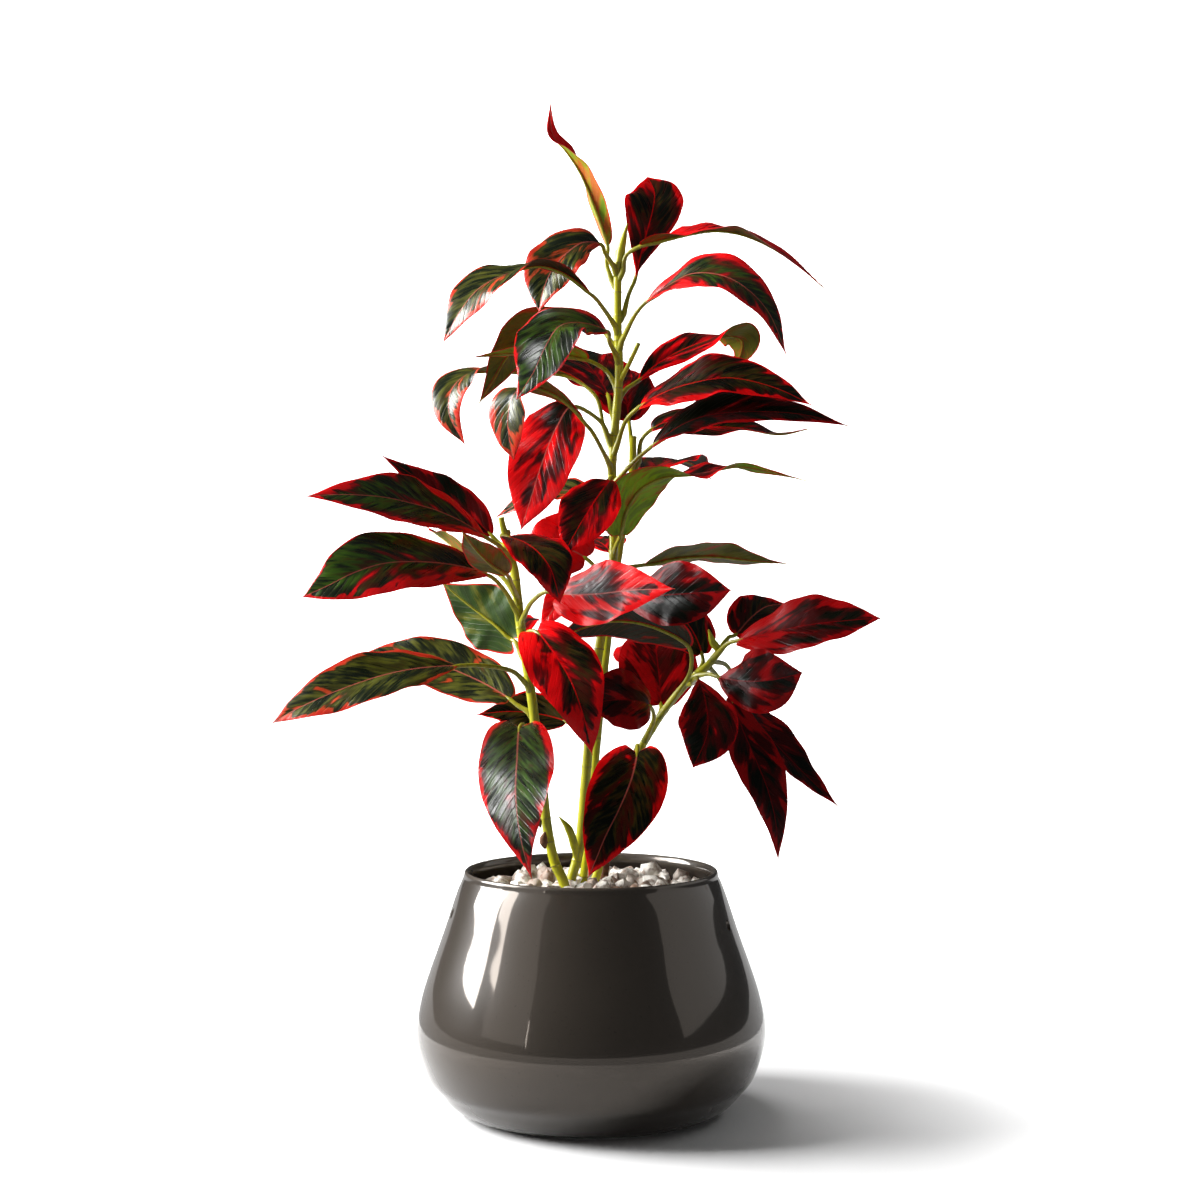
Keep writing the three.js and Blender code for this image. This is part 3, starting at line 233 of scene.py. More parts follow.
LEAVES = {
    "leaf_main_01": Leaf(
        "main", 594, 24, 0.6, "red", "red", "fresh", 1.1, [(11, 606, 2)],
        [(12, 618, 2), (3, 646, 0), (-7, 670, -2), (-18, 686, -4), (-27, 696, -4), (-29, 721, -2)],
        [(0.5, 0.1, 0.9), (0.4, 0.7, -0.1), (-0.2, 0.6, -0.8)]),
    "leaf_main_02": Leaf(
        "main", 570, 44, 0.25, "dark", "dark", "brown", 0.3, [(27, 584, 2)],
        [(31, 593, 4), (34, 606, 6), (39, 625, 8), (44, 644, 10), (45, 656, 16), (40, 667, 24)],
        [(0, 0.2, -1), (0, 0.2, -1), (0, 0.6, -0.8)], broadest=0.66, lobes=0),
    "leaf_main_03": Leaf(
        "main", 600, 34, 0.4, "red", "green", "olive", 0.6, [(25, 611, -4)],
        [(36, 618, -8), (53, 623, -12), (71, 627, -13), (88, 629, -12), (108, 626, -9), (130, 616, -5),
        (150, 602, 0), (166, 588, 4)],
        [(0, 1, 0.2), (0, 0.9, -0.35), (0, 1, -0.1), (0.2, 0.8, -0.5), (0.4, 0.85, -0.3)], drift=-0.6,
        margin=3, broadest=0.35),
    "leaf_main_04": Leaf(
        "main", 550, 38, 0.3, "green", "green", "brown", 0.2, [(32, 570, -14)],
        [(39, 578, -20), (56, 590, -32), (72, 598, -42), (92, 597, -50), (110, 588, -58), (126, 571, -62),
        (139, 541, -62)],
        [(0, 0.7, -0.7), (0.1, 0.6, -0.8), (0.4, 0.4, -0.8)], drift=-0.4, margin=3, broadest=0.45),
    "leaf_main_05": Leaf(
        "main", 512, 40, 0.3, "dark", "dark", "olive", 0.3, [(26, 517, 8)],
        [(32, 521, 12), (46, 533, 20), (63, 543, 27), (81, 550, 33), (97, 554, 38), (107, 551, 42),
        (107, 542, 44), (102, 534, 46)],
        [(0, 0.6, -0.8), (0.05, 0.75, -0.65), (0.1, 1, 0), (0.4, 0.4, 0.8), (0.5, 0.1, 0.9)], broadest=0.5,
        lobes=0),
    "leaf_main_06": Leaf(
        "main", 476, 46, 0.25, "dark", "dark", "olive", 0.15, [(25, 494, -10)],
        [(35, 504, -16), (53, 514, -28), (71, 520, -38), (99, 524, -48), (131, 517, -58), (157, 505, -64)],
        [(0, 0.7, -0.7), (0, 0.65, -0.75), (0.2, 0.5, -0.8)], drift=-0.3, margin=3, broadest=0.42),
    "leaf_main_07": Leaf(
        "main", 451, 44, 0.35, "dark", "wine", "brown", 0.15, [(30, 464, -10)],
        [(44, 476, -18), (64, 490, -28), (82, 497, -35), (117, 500, -47), (150, 498, -55), (184, 490, -60)],
        [(0, 0.8, -0.6), (0, 0.75, -0.65), (0.2, 0.6, -0.7)], margin=1.5),
    "leaf_rear_01": Leaf(
        "rear", 466, 38, 0.3, "dark", "dark", "olive", 0.2, [(36, 480, 24)],
        [(44, 488, 22), (56, 493, 20), (79, 490, 18), (110, 488, 14), (135, 484, 10), (155, 488, 6)],
        [(0, 0.8, -0.5), (0, 0.8, -0.5), (0, 0.9, 0.3)], margin=1.5),
    "leaf_main_08": Leaf(
        "main", 400, 42, 0.2, "red", "red", "fresh", 0.4, [(18, 405, -10)],
        [(21, 412, -14), (24, 427, -18), (33, 443, -22), (50, 453, -26), (78, 456, -28), (104, 461, -30),
        (124, 458, -32), (154, 451, -33)],
        [(-0.5, 0.35, 0.8), (-0.5, 0.4, 0.75), (-0.2, 0.7, 0.5), (0, 0.85, -0.5), (0, 0.8, 0.55),
        (0.1, 0.6, 0.8)], broadest=0.28, lobes=0.3),
    "leaf_main_09": Leaf(
        "main", 383, 36, 0.35, "green", "green", "olive", 0.2, [(26, 389, 8)],
        [(38, 391, 14), (62, 396, 22), (88, 397, 30), (114, 394, 38), (140, 392, 44)],
        [(0, 0.9, 0.4), (0, 0.85, 0.5), (0.1, 0.85, 0.45)]),
    "leaf_main_10": Leaf(
        "main", 366, 46, 0.2, "dark", "wine", "brown", 0.22, [(20, 371, -16)],
        [(27, 366, -34), (49, 369, -52), (75, 371, -66), (100, 373, -74)],
        [(0.2, 0.3, -1), (0.25, 0.2, -1), (0.4, 0, -1)], drift=-0.3, margin=3, broadest=0.5, lobes=0.3),
    "leaf_main_11": Leaf(
        "main", 444, 42, 0.2, "dark", "dark", "brown", 0.3, [(13, 452, -16)],
        [(14, 452, -27), (5, 440, -38), (-7, 421, -47), (-20, 398, -52)],
        [(-0.1, 0.5, -0.85), (-0.1, 0.4, -0.9), (-0.2, 0.2, -1)], drift=-0.3, margin=4, broadest=0.5,
        lobes=0.2),
    "leaf_main_12": Leaf(
        "main", 482, 52, 0.2, "red", "red", "olive", 0.6, [(7, 493, -4)],
        [(-13, 504, -5), (-24, 490, -12), (-34, 466, -20), (-43, 438, -26), (-50, 416, -28)],
        [(-0.2, 0.5, -0.85), (-0.25, 0.3, -1), (-0.2, 0.1, -1)], drift=1, margin=3, broadest=0.42,
        lobes=0.3),
    "leaf_main_13": Leaf(
        "main", 540, 48, 0.25, "dark", "green", "brown", -0.1, [(13, 550, -10)],
        [(12, 557, -20), (-6, 563, -30), (-22, 561, -40), (-32, 547, -50), (-41, 528, -56),
        (-53, 509, -56)],
        [(0, 0.6, -0.8), (-0.3, 0.6, -0.8), (-0.2, 0.3, -1)], broadest=0.5, lobes=0.6),
    "leaf_main_14": Leaf(
        "main", 546, 34, 0.3, "green", "dark", "olive", 0.15, [(8, 558, 12)],
        [(-4, 563, 16), (-26, 566, 18), (-42, 560, 14), (-52, 549, 9), (-62, 536, 3), (-70, 522, 0),
        (-80, 506, -2)],
        [(0, 0.9, 0.4), (-0.3, 0.4, 0.85), (-0.5, 0.2, 0.85)], broadest=0.42),
    "leaf_main_15": Leaf(
        "main", 603, 44, 0.35, "green", "sage", "olive", 0.2, [(10, 613, -8)],
        [(7, 619, -16), (-6, 620, -20), (-19, 611, -22), (-28, 600, -24), (-34, 586, -26), (-37, 571, -26)],
        [(0, 0.5, -0.85), (-0.3, 0.45, -0.85), (-0.5, 0.2, -0.9)], drift=-0.3, margin=1.8, broadest=0.5,
        lobes=0.1),
    "leaf_main_16": Leaf(
        "main", 561, 46, 0.25, "green", "sage", "brown", 0.08, [(10, 572, -12)],
        [(2, 582, -26), (-8, 591, -36), (-22, 600, -44), (-38, 604, -50), (-57, 599, -56), (-79, 588, -60),
        (-92, 573, -62), (-105, 550, -60)],
        [(0, 1, 0.12), (-0.1, 1, -0.12), (-0.5, 0.35, -1.2)], margin=1.8, broadest=0.62),
    "leaf_main_17": Leaf(
        "main", 474, 36, 0.3, "green", "sage", "olive", 0.15, [(9, 489, 14)],
        [(4, 510, 20), (-8, 522, 27), (-26, 528, 29), (-48, 529, 30), (-68, 529, 28), (-87, 527, 24),
        (-99, 516, 18), (-101, 499, 12), (-90, 477, 8)],
        [(0, 0.5, 0.85), (-0.1, 1, 0.05), (-0.5, 0.1, -1)], margin=1.8, broadest=0.66, lobes=0),
    "leaf_main_18": Leaf(
        "main", 520, 30, 0.3, "red", "green", "fresh", 0.3, [(10, 530, 9)],
        [(-3, 537, 4), (-28, 542, -6), (-55, 542, -16), (-84, 539, -24)],
        [(0, 0.9, 0.4), (0, 0.9, 0.4), (-0.2, 0.9, 0.2)]),
    "leaf_main_19": Leaf(
        "main", 462, 34, 0.25, "green", "sage", "olive", 0.2, [(8, 473, -12)],
        [(0, 487, -22), (-14, 504, -32), (-29, 514, -36), (-45, 518, -38), (-55, 512, -40), (-59, 496, -40),
        (-58, 480, -38), (-55, 466, -36)],
        [(0.4, 0.5, 0.75), (0.1, 0.8, 0.45), (-0.4, 0.7, -0.6), (-0.5, 0.2, -0.9)], margin=1.8,
        broadest=0.62),
    "leaf_main_20": Leaf(
        "main", 492, 56, 0.2, "dark", "wine", "brown", 0.35, [(14, 502, 20)],
        [(12, 512, 38), (4, 526, 60), (-6, 538, 80), (-12, 548, 100)],
        [(0.2, 0.6, -0.8), (0.2, 0.5, -0.9), (0.1, 0.7, -0.6)], margin=1.5),
    "leaf_main_21": Leaf(
        "main", 430, 36, 0.25, "green", "sage", "olive", 0.2, [(6, 437, 8)],
        [(-4, 441, 12), (-20, 444, 18), (-45, 438, 24), (-68, 425, 26)],
        [(-0.1, 0.9, -0.3), (-0.2, 0.8, -0.5), (-0.3, 0.6, -0.7)], margin=1.8),
    "leaf_rear_02": Leaf(
        "rear", 474, 48, 0.2, "dark", "wine", "brown", 0.35, [(28, 486, 42)],
        [(27, 494, 50), (25, 510, 66), (22, 524, 84), (18, 534, 106)],
        [(0, 0.5, -0.9), (0, 0.6, -0.8), (0, 0.8, -0.6)], margin=1.5),
    "leaf_main_22": Leaf(
        "main", 376, 52, 0.15, "red", "red", "olive", 0.95, [(4, 388, -6)],
        [(-4, 396, -6), (-18, 403, -6), (-34, 405, -4), (-46, 398, 0)],
        [(0, 0.4, -1), (0, 0.3, -1), (-0.1, 0.2, -1)], margin=3),
    "leaf_left_01": Leaf(
        "left", 404, 34, 0.25, "dark", "wine", "brown", 0.15, [(-66, 407, -4)],
        [(-71, 412, -4), (-88, 428, 2), (-106, 441, 8), (-126, 454, 12), (-149, 469, 16)],
        [(-0.3, 0.7, -0.6), (-0.2, 0.8, -0.5), (-0.2, 0.8, -0.5)], drift=-0.3, broadest=0.42, lobes=0.3),
    "leaf_left_02": Leaf(
        "left", 398, 44, 0.25, "green", "green", "olive", 0.15, [(-66, 405, -24)],
        [(-74, 410, -30), (-93, 422, -39), (-111, 430, -46), (-129, 435, -52), (-147, 439, -57),
        (-175, 441, -64), (-203, 440, -68)],
        [(0, 0.7, -0.7), (0.1, 0.6, -0.8), (0, 0.6, -0.8)], drift=-0.4, margin=3, broadest=0.5),
    "leaf_left_03": Leaf(
        "left", 358, 50, 0.2, "dark", "green", "olive", 0.12, [(-62, 373, -26)],
        [(-72, 383, -34), (-94, 390, -46), (-120, 393, -57), (-147, 392, -66), (-170, 385, -72),
        (-188, 376, -75), (-206, 368, -76)],
        [(0, 0.6, -0.8), (0, 0.5, -0.9), (-0.1, 0.4, -0.9)], drift=-0.8, margin=4, lean=-0.7, broadest=0.5),
    "leaf_left_04": Leaf(
        "left", 376, 32, 0.3, "green", "green", "olive", 0.2, [(-64, 383, -6)],
        [(-72, 388, 2), (-92, 400, 18), (-106, 410, 32), (-117, 418, 46)],
        [(-0.3, 0.6, 0.7), (-0.3, 0.6, 0.7), (-0.3, 0.7, 0.6)]),
    "leaf_left_05": Leaf(
        "left", 368, 26, 0.3, "dark", "dark", "olive", 0.4, [(-57, 378, -30)],
        [(-60, 384, -42), (-72, 392, -58), (-84, 404, -72), (-92, 415, -80)],
        [(-0.3, 0.7, 0.3), (-0.3, 0.8, -0.1), (-0.3, 0.8, -0.4)]),
    "leaf_left_06": Leaf(
        "left", 329, 52, 0.15, "green", "green", "green", 0.15, [(-54, 336, -6)],
        [(-57, 338, -3), (-68, 348, 1), (-80, 357, 5), (-93, 367, 9), (-107, 379, 13)],
        [(0.3, 0.3, 0.9), (0.2, 0.3, 0.9), (0.1, 0.5, 0.9)], margin=2.5, lobes=1),
    "leaf_left_07": Leaf(
        "left", 307, 46, 0.25, "red", "sage", "olive", 0.07, [(-56, 315, -26), (-76, 319, -38)],
        [(-94, 319, -46), (-112, 318, -54), (-130, 316, -60), (-152, 311, -66), (-181, 301, -72),
        (-208, 289, -76), (-228, 278, -78)],
        [(0, 0.8, -0.6), (-0.1, 0.7, -0.7), (-0.2, 0.6, -0.8)], margin=2.2, broadest=0.5, lobes=0.3),
    "leaf_left_08": Leaf(
        "left", 288, 44, 0.2, "dark", "sage", "green", 0.0, [(-53, 291, -8)],
        [(-58, 295, -6), (-80, 308, 4), (-113, 321, 14), (-142, 326, 20), (-171, 325, 24)],
        [(0, 0.6, -0.8), (0, 0.5, -0.9), (-0.1, 0.5, -0.9)], margin=1.5),
    "leaf_main_23": Leaf(
        "main", 268, 40, 0.25, "dark", "dark", "brown", -0.3, [(-10, 275, 8)],
        [(-18, 279, 12), (-36, 284, 18), (-58, 286, 20), (-82, 284, 20)],
        [(-0.1, 0.7, -0.7), (-0.1, 0.7, -0.7), (-0.1, 0.7, -0.7)], margin=1.5),
    "leaf_left_09": Leaf(
        "left", 336, 50, 0.2, "red", "dark", "brown", 0.2, [(-45, 343, -26)],
        [(-39, 343, -34), (-26, 327, -50), (-15, 309, -60), (-8, 291, -66), (-2, 270, -68), (1, 255, -66)],
        [(0, 0.6, -0.8), (0.1, 0.35, -1), (0.1, 0.1, -1)], drift=-0.4, margin=6, lean=0.4, broadest=0.3,
        lobes=1),
    "leaf_left_10": Leaf(
        "left", 266, 52, 0.2, "green", "green", "brown", 0.05, [(-47, 276, -32)],
        [(-51, 275, -44), (-53, 252, -70), (-54, 228, -88), (-52, 205, -98), (-48, 185, -104),
        (-42, 165, -106)],
        [(0, 0.8, -0.6), (-0.1, 0.4, -1), (-0.1, 0.15, -1)], margin=2.5, broadest=0.25, lobes=1),
    "leaf_left_11": Leaf(
        "left", 352, 48, 0.2, "red", "red", "brown", 0.3, [(-42, 365, -28), (-32, 372, -36)],
        [(-22, 370, -44), (2, 370, -60), (31, 373, -76), (60, 374, -88)],
        [(0, 0.5, -0.9), (0, 0.3, -1), (0.2, 0.2, -1)], drift=-0.5, margin=7, broadest=0.35),
    "leaf_left_12": Leaf(
        "left", 408, 40, 0.3, "dark", "dark", "olive", 0.1, [(-64, 412, -26)],
        [(-60, 411, -38), (-48, 407, -54), (-37, 399, -66), (-29, 388, -72), (-25, 376, -74),
        (-22, 363, -72)],
        [(0, 0.9, -0.3), (0.2, 0.6, -0.8), (0.3, 0.1, -1)], broadest=0.4),
    "leaf_right_01": Leaf(
        "right", 254, 54, 0.2, "green", "bronze", "brown", 0.2, [(33, 262, -8)],
        [(33, 257, -20), (29, 238, -42), (20, 216, -58), (10, 196, -68), (3, 179, -72), (-2, 167, -72)],
        [(0, 0.8, -0.6), (0.1, 0.4, -1), (0, 0.15, -1)], margin=2.5, broadest=0.28, lobes=1),
    "leaf_right_02": Leaf(
        "right", 328, 48, 0.25, "red", "wine", "brown", 0.45, [(98, 335, -11)],
        [(105, 337, -16), (126, 342, -28), (156, 348, -40), (182, 351, -48), (207, 353, -54)],
        [(0, 0.7, -0.7), (0, 0.6, -0.8), (0.1, 0.6, -0.8)], drift=-0.9, margin=3, broadest=0.45),
    "leaf_right_03": Leaf(
        "right", 330, 36, 0.25, "dark", "bronze", "brown", 0.2, [(98, 339, 8)],
        [(103, 341, 14), (113, 352, 28), (125, 361, 46), (141, 363, 66)],
        [(0.1, 0.5, -0.9), (0.2, 0.5, -0.8), (0.3, 0.7, -0.6)], margin=2.5),
    "leaf_right_04": Leaf(
        "right", 313, 46, 0.2, "green", "wine", "brown", 0.4, [(84, 313, -10)],
        [(91, 311, -18), (108, 308, -32), (130, 309, -44), (151, 314, -50)],
        [(0.2, 0.2, -1), (0.2, 0.1, -1), (0.2, 0, -1)], drift=-0.2, margin=2.5, broadest=0.55),
    "leaf_right_05": Leaf(
        "right", 306, 42, 0.2, "green", "wine", "brown", 0.35, [(72, 306, -12)],
        [(76, 310, -28), (82, 292, -50), (83, 270, -62), (73, 246, -66)],
        [(0, 0.7, -0.7), (0, 0.4, -1), (-0.1, 0.1, -1)], drift=-0.3, broadest=0.58, lobes=0.2),
    "leaf_right_06": Leaf(
        "right", 319, 38, 0.2, "dark", "wine", "brown", 0.4, [(90, 312, 10)],
        [(99, 297, 10), (107, 276, 6), (117, 253, 2), (126, 231, -2), (132, 207, -4), (134, 179, -4)],
        [(0.5, 0.5, -0.7), (0.3, 0.3, -0.9), (0.3, 0.1, -0.9)], drift=-0.5, margin=2.5, broadest=0.4),
    "leaf_right_07": Leaf(
        "right", 323, 44, 0.25, "green", "wine", "brown", 0.35, [(98, 318, 22)],
        [(107, 297, 34), (124, 272, 46), (150, 244, 46), (177, 218, 42)],
        [(0.6, 0.6, -0.4), (0.5, 0.6, -0.6), (0.5, 0.6, -0.6)], drift=-0.4),
    "leaf_right_08": Leaf(
        "right", 287, 34, 0.2, "green", "bronze", "brown", 0.05, [(62, 300, -12), (71, 315, -20)],
        [(70, 332, -22), (47, 346, -23), (20, 351, -23), (-6, 346, -23), (-26, 336, -24)],
        [(-0.2, 0.5, 0.8), (0, 0.5, 0.85), (0.1, 0.5, 0.85)], margin=3),
    "leaf_right_09": Leaf(
        "right", 282, 60, 0.2, "red", "wine", "brown", 0.6, [(50, 288, 12)],
        [(50, 291, 16), (49, 307, 28), (47, 326, 42), (45, 344, 60), (42, 358, 84)],
        [(0, 0.4, -1), (0, 0.4, -1), (0, 0.7, -0.7)]),
    "leaf_right_10": Leaf(
        "right", 316, 34, 0.2, "dark", "dark", "brown", 0.1, [(80, 322, 6)],
        [(79, 328, 7), (74, 341, 7), (64, 355, 7), (52, 366, 8)],
        [(0.2, 0.4, -0.9), (0.2, 0.4, -0.9), (0.2, 0.5, -0.9)], margin=1.5),
    "leaf_right_11": Leaf(
        "right", 270, 46, 0.2, "red", "wine", "brown", 0.55, [(45, 282, -10)],
        [(42, 290, -18), (30, 294, -30), (12, 294, -38), (-4, 290, -42)],
        [(0, 0.4, -0.9), (0, 0.3, -1), (0, 0.2, -1)], margin=2.5, broadest=0.45),
    "leaf_main_24": Leaf(
        "main", 370, 26, 0.2, "red", "red", "olive", 0.95, [(2, 378, -10)],
        [(-6, 379, -18), (-16, 372, -25), (-27, 359, -28), (-37, 344, -29)],
        [(-0.2, 0.8, -0.5), (-0.3, 0.5, -0.9), (-0.2, 0.3, -1)], margin=3),
    "leaf_rear_03": Leaf(
        "rear", 380, 46, 0.25, "green", "dark", "brown", 0.3, [(18, 392, 44)],
        [(14, 400, 56), (4, 408, 84), (-8, 408, 114), (-20, 398, 142)],
        [(0, 0.9, -0.3), (0, 1, 0.1), (0, 0.9, 0.4)]),
    "leaf_rear_04": Leaf(
        "rear", 300, 48, 0.25, "red", "red", "brown", 0.6, [(18, 312, 46)],
        [(24, 320, 60), (40, 330, 88), (56, 330, 116), (72, 318, 144)],
        [(0, 0.9, -0.3), (0, 1, 0.1), (0.2, 0.8, 0.4)], margin=3),
    "leaf_rear_05": Leaf(
        "rear", 440, 46, 0.25, "dark", "dark", "brown", 0.3, [(34, 450, 42)],
        [(40, 456, 54), (54, 464, 80), (70, 464, 106), (86, 452, 132)],
        [(0, 0.9, -0.3), (0, 1, 0.1), (0.2, 0.8, 0.4)]),
    "leaf_left_13": Leaf(
        "left", 322, 46, 0.25, "red", "dark", "olive", 0.4, [(-48, 333, -2)],
        [(-51, 342, 12), (-58, 350, 40), (-64, 350, 70), (-70, 338, 98)],
        [(0, 0.9, -0.3), (0, 1, 0.1), (-0.2, 0.8, 0.4)]),
}

# What the red flush of an upper side is made of: how much streaks, the nearness of the edge, within so many
# margins, and the leaf's own share count in it
FLUSH = {"streaks": 0.2, "edge": 0.26, "margins": 3.0, "own": 0.42}
# The margin swells where the patches are over a level, and is never narrower than its least
MARGIN = {"level": 0.38, "swelling": 5.0, "least": 0.3}
# The pale midrib's half width at the base and how much it loses up to the tip, and the side veins' half width
PALE_RIB = {"half": 0.85, "loss": 0.5}
VEIN_HALF = {"upper": 0.7, "under": 0.5}
VEIN_GROOVE = 0.25
# How far the patches, the streaks and the underside's patches go across a blade and along it
PATCH_SIZE = (15, 22)
STREAK_SIZE = (10, 5.5)
UNDER_SIZE = (11, 13)
# The patches on the right of the midrib are shifted by this against those on the left
SIDE_SHIFT = 5.3
# How much a leaf's own share counts in the flush of its underside
UNDER_FLUSH = 0.22

# The upper sides: dark, fresh, warm, bright, deep, vein and midrib colours, and the gloss
UPPER_LOOKS = {
    "red": ("night", "moss", "maroon", "red", "crimson", "crimson", "pink", 0.24),
    "dark": ("night", "bronze", "maroon", "red", "crimson", "crimson", "red", 0.16),
    # This look is partly the blades' own darker red and partly painted shade, for the blades on the right
    # that stand in the others' shade
    "wine": ("night", "night", "maroon", "wine", "maroon", "maroon", "crimson", 0.1),
    "bronze": ("night", "bronze", "maroon", "red", "maroon", "maroon", "pink", 0.1),
    "green": ("moss", "green", "maroon", "red", "crimson", "olive", "pink", 0.42),
    "sage": ("moss", "sage", "umber", "coral", "rust", "olive", "pink", 0.42),
}

# The undersides: ground and flush colours, the strength of the ground, and how far the flush spreads
UNDER_LOOKS = {
    "olive": ("olive", "rust", 1.0, 0.0),
    "green": ("green", "olive", 0.5, 0.05),
    "brown": ("umber", "red", 1.0, -0.05),
    "fresh": ("fresh", "rust", 1.0, 0.0),
}

# The studio, in metres. Its paper: the half width, the front edge, where it bends upwards, the radius of
# that bend, and the top edge
PAPER = {"half": 5.0, "front": -3.0, "bend": 2.2, "radius": 0.8, "top": 4.0}
BEND_STEPS = 16
# The paper round the foot, as it shows in the glaze: radius and height
PAPER_ROUND = (0.5, 0.2 * MM)
PAPER_ROUND_SIDES = 48
# The point that the lamps stand around, and the ways that a lamp faces when it isn't turned to that
LAMP_CENTRE = Vector((0, 0, 0.25))
ALONG = Vector((0, 1, -0.4))
DOWN = Vector((0, 0, -1))
DOWN_SPREAD = 95
# Pieces whose middle lies less than this behind the pot's axis, in millimetres, stand in front
FRONT_DEPTH = 30

# The lamps: the light that each has a share of and that share, its size, azimuth, elevation and distance,
# the way that it faces, and the only pieces that mirror it, or None for a lamp that lights the room
LAMPS = (
    ("key_softbox", "key_power", 1, (0.95, 1.1), -91, 25.5, 1.7, None, None),
    ("key_glass", "key_power", 1, (0.95, 1.1), -100, 25.5, 1.7, None, "front_pieces"),
    ("leaf_sheen", "key_power", 0.45, (0.35, 1.1), -8, 68, 1.7, None, "waxy_pieces"),
    ("top_softbox", "top_power", 1, (0.8, 0.8), -150, 64, 2.2, None, None),
    ("second_glass", "key_power", 0.15, (0.32, 0.85), -77, 28, 1.7, None, "glazed_pieces"),
    ("soft_glass", "key_power", 0.03, (1.0, 1.1), -58, 20, 1.7, None, "glazed_pieces"),
    ("thin_glass", "key_power", 0.003, (0.012, 0.36), -41, 7, 1.9, None, "glazed_pieces"),
    ("side_glass", "key_power", 0.09, (2.6, 1.3), 95, 25, 1.9, None, "glazed_pieces"),
    ("backdrop_wash", "key_power", 2.4, (4.0, 0.6), 180, 52, 1.6, ALONG, None),
    ("floor_wash", "key_power", 0.03, (0.3, 0.5), 90, 21, 0.7, DOWN, None),
)

MATH = "ShaderNodeMath"
VECTOR = "ShaderNodeVectorMath"
FLOAT = "NodeSocketFloat"
WHOLE = "NodeSocketInt"
MATERIAL = "NodeSocketMaterial"
GEOMETRY = "NodeSocketGeometry"
EVEN = "LINEAR"
EASED = "SMOOTHSTEP"


def linear(hex_colour):
    """An sRGB hex colour as linear red, green and blue."""
    values = [int(hex_colour[i:i + 2], 16) / 255 for i in (1, 3, 5)]
    return tuple(v / 12.92 if v <= 0.04045 else ((v + 0.055) / 1.055) ** 2.4 for v in values)


def opaque(colour, strength=1.0):
    """A colour without transparency, made lighter or darker by its strength."""
    return (*[c * strength for c in colour], 1.0)


def colour_setting(name, description, value):
    """A colour, with its default in sRGB hex."""
    return bpy.props.FloatVectorProperty(
        name=name, description=description, default=linear(value), subtype="COLOR", size=3, min=0, max=1)


def length_setting(name, description, value, least):
    """A length, with its default and its least value in millimetres."""
    return bpy.props.FloatProperty(
        name=name, description=description, default=value * MM, min=least * MM, subtype="DISTANCE",
        unit="LENGTH")


def share_setting(name, description, value, most):
    """A share or a factor, from none to its most."""
    return bpy.props.FloatProperty(
        name=name, description=description, default=value, min=0, max=most, subtype="FACTOR")


def power_setting(name, description, value):
    """The power of a lamp in watts."""
    return bpy.props.FloatProperty(name=name, description=description, default=value, min=0, unit="POWER")


class PotSettings(bpy.types.PropertyGroup):
    glaze: colour_setting("Glaze", "Colour of the glaze", "#3a342e")
    lip_colour: colour_setting("Lip", "Colour where the glaze runs thin on the lip", "#514a43")
    wall: length_setting("Wall", "Thickness of the wall", 5.5, 2)
    floor: length_setting("Floor", "Thickness of the floor", 9, 2)
    dimple: length_setting("Dimple", "Radius of the two small holes high on the sides", 4.2, 1)


class FillingSettings(bpy.types.PropertyGroup):
    pebble: length_setting("Pebble", "Mean radius of a pebble", 9.0, 1)
    spacing: length_setting("Spacing", "Least distance between the middles of two pebbles", 10.4, 1)
    seed: bpy.props.IntProperty(name="Seed", description="Which of the random layouts is used", default=7)
    pale: colour_setting("Pale stone", "Colour of most pebbles", "#e6e1d8")
    brown: colour_setting("Brown stone", "Colour of some pebbles", "#7f5f4a")
    soil: colour_setting("Soil", "Colour of the potting mix", "#2c2119")


class CaneSettings(bpy.types.PropertyGroup):
    young: colour_setting("Young bark", "Colour of the canes", "#b6b21a")
    old: colour_setting("Old bark", "Colour of the darker streaks and of the stalks' rings", "#7c7f18")
    ring: colour_setting("Ring", "Colour of the rings where a leaf once stood", "#7a6a3a")
    stalk: colour_setting("Stalk", "Colour of the leaf stalks", "#9e991f")
    dry: colour_setting("Dry sheath", "Colour of dead scraps of sheath", "#6b4630")
    node_spacing: length_setting("Node spacing", "Distance between two rings on a cane", 17, 4)
    node_height: length_setting("Node height", "How far a ring stands out of the bark", 0.45, 0)


class LeafSettings(bpy.types.PropertyGroup):
    thickness: length_setting("Thickness", "Thickness of a blade", 0.7, 0.2)
    wave: share_setting("Wave", "Height of the waves of a blade's edge, as a share of its width", 0.035, 0.2)
    ruffle: share_setting("Ruffle", "Height of the edge's fine ruffles, as a share of its width", 0.018, 0.2)
    quilting: length_setting("Quilting", "Height of the swelling between two side veins", 0.35, 0)
    vein_spacing: length_setting("Vein spacing", "Distance between side veins along the midrib", 7.5, 1)
    night: colour_setting("Night green", "Darkest green of the upper side", "#0a0e07")
    moss: colour_setting("Moss green", "Deep green between the veins of the dark leaves", "#10190a")
    green: colour_setting("Green", "Green of the upper side", "#3a5a0f")
    bronze: colour_setting("Bronze", "Brown green of the older blades", "#3c330e")
    maroon: colour_setting("Maroon", "Darkest red, where the flush begins", "#3e0506")
    # Partly the blades' own deep red and partly painted shade for the blades on the right, which stand in the
    # others' shade
    wine: colour_setting("Wine red", "Red of the older blades on the right", "#9c080c")
    sage: colour_setting("Sage green", "Olive green of the lower blades on the left", "#585a1a")
    coral: colour_setting("Coral", "Margins and streaks of the sage green blades", "#c02a1a")
    crimson: colour_setting("Crimson", "Dark red of the flush", "#78050b")
    red: colour_setting("Red", "Bright red of the flush and margins", "#e2070d")
    pink: colour_setting("Pink", "Pale pink of midribs and veins", "#c05a50")
    olive: colour_setting("Olive", "Olive of most undersides", "#6a691a")
    umber: colour_setting("Umber", "Dark brown green of the older undersides", "#24210c")
    fresh: colour_setting("Fresh green", "Bright green of the youngest undersides", "#8fb51f")
    rust: colour_setting("Rust", "Orange red of the underside's veins and edges", "#b8401c")


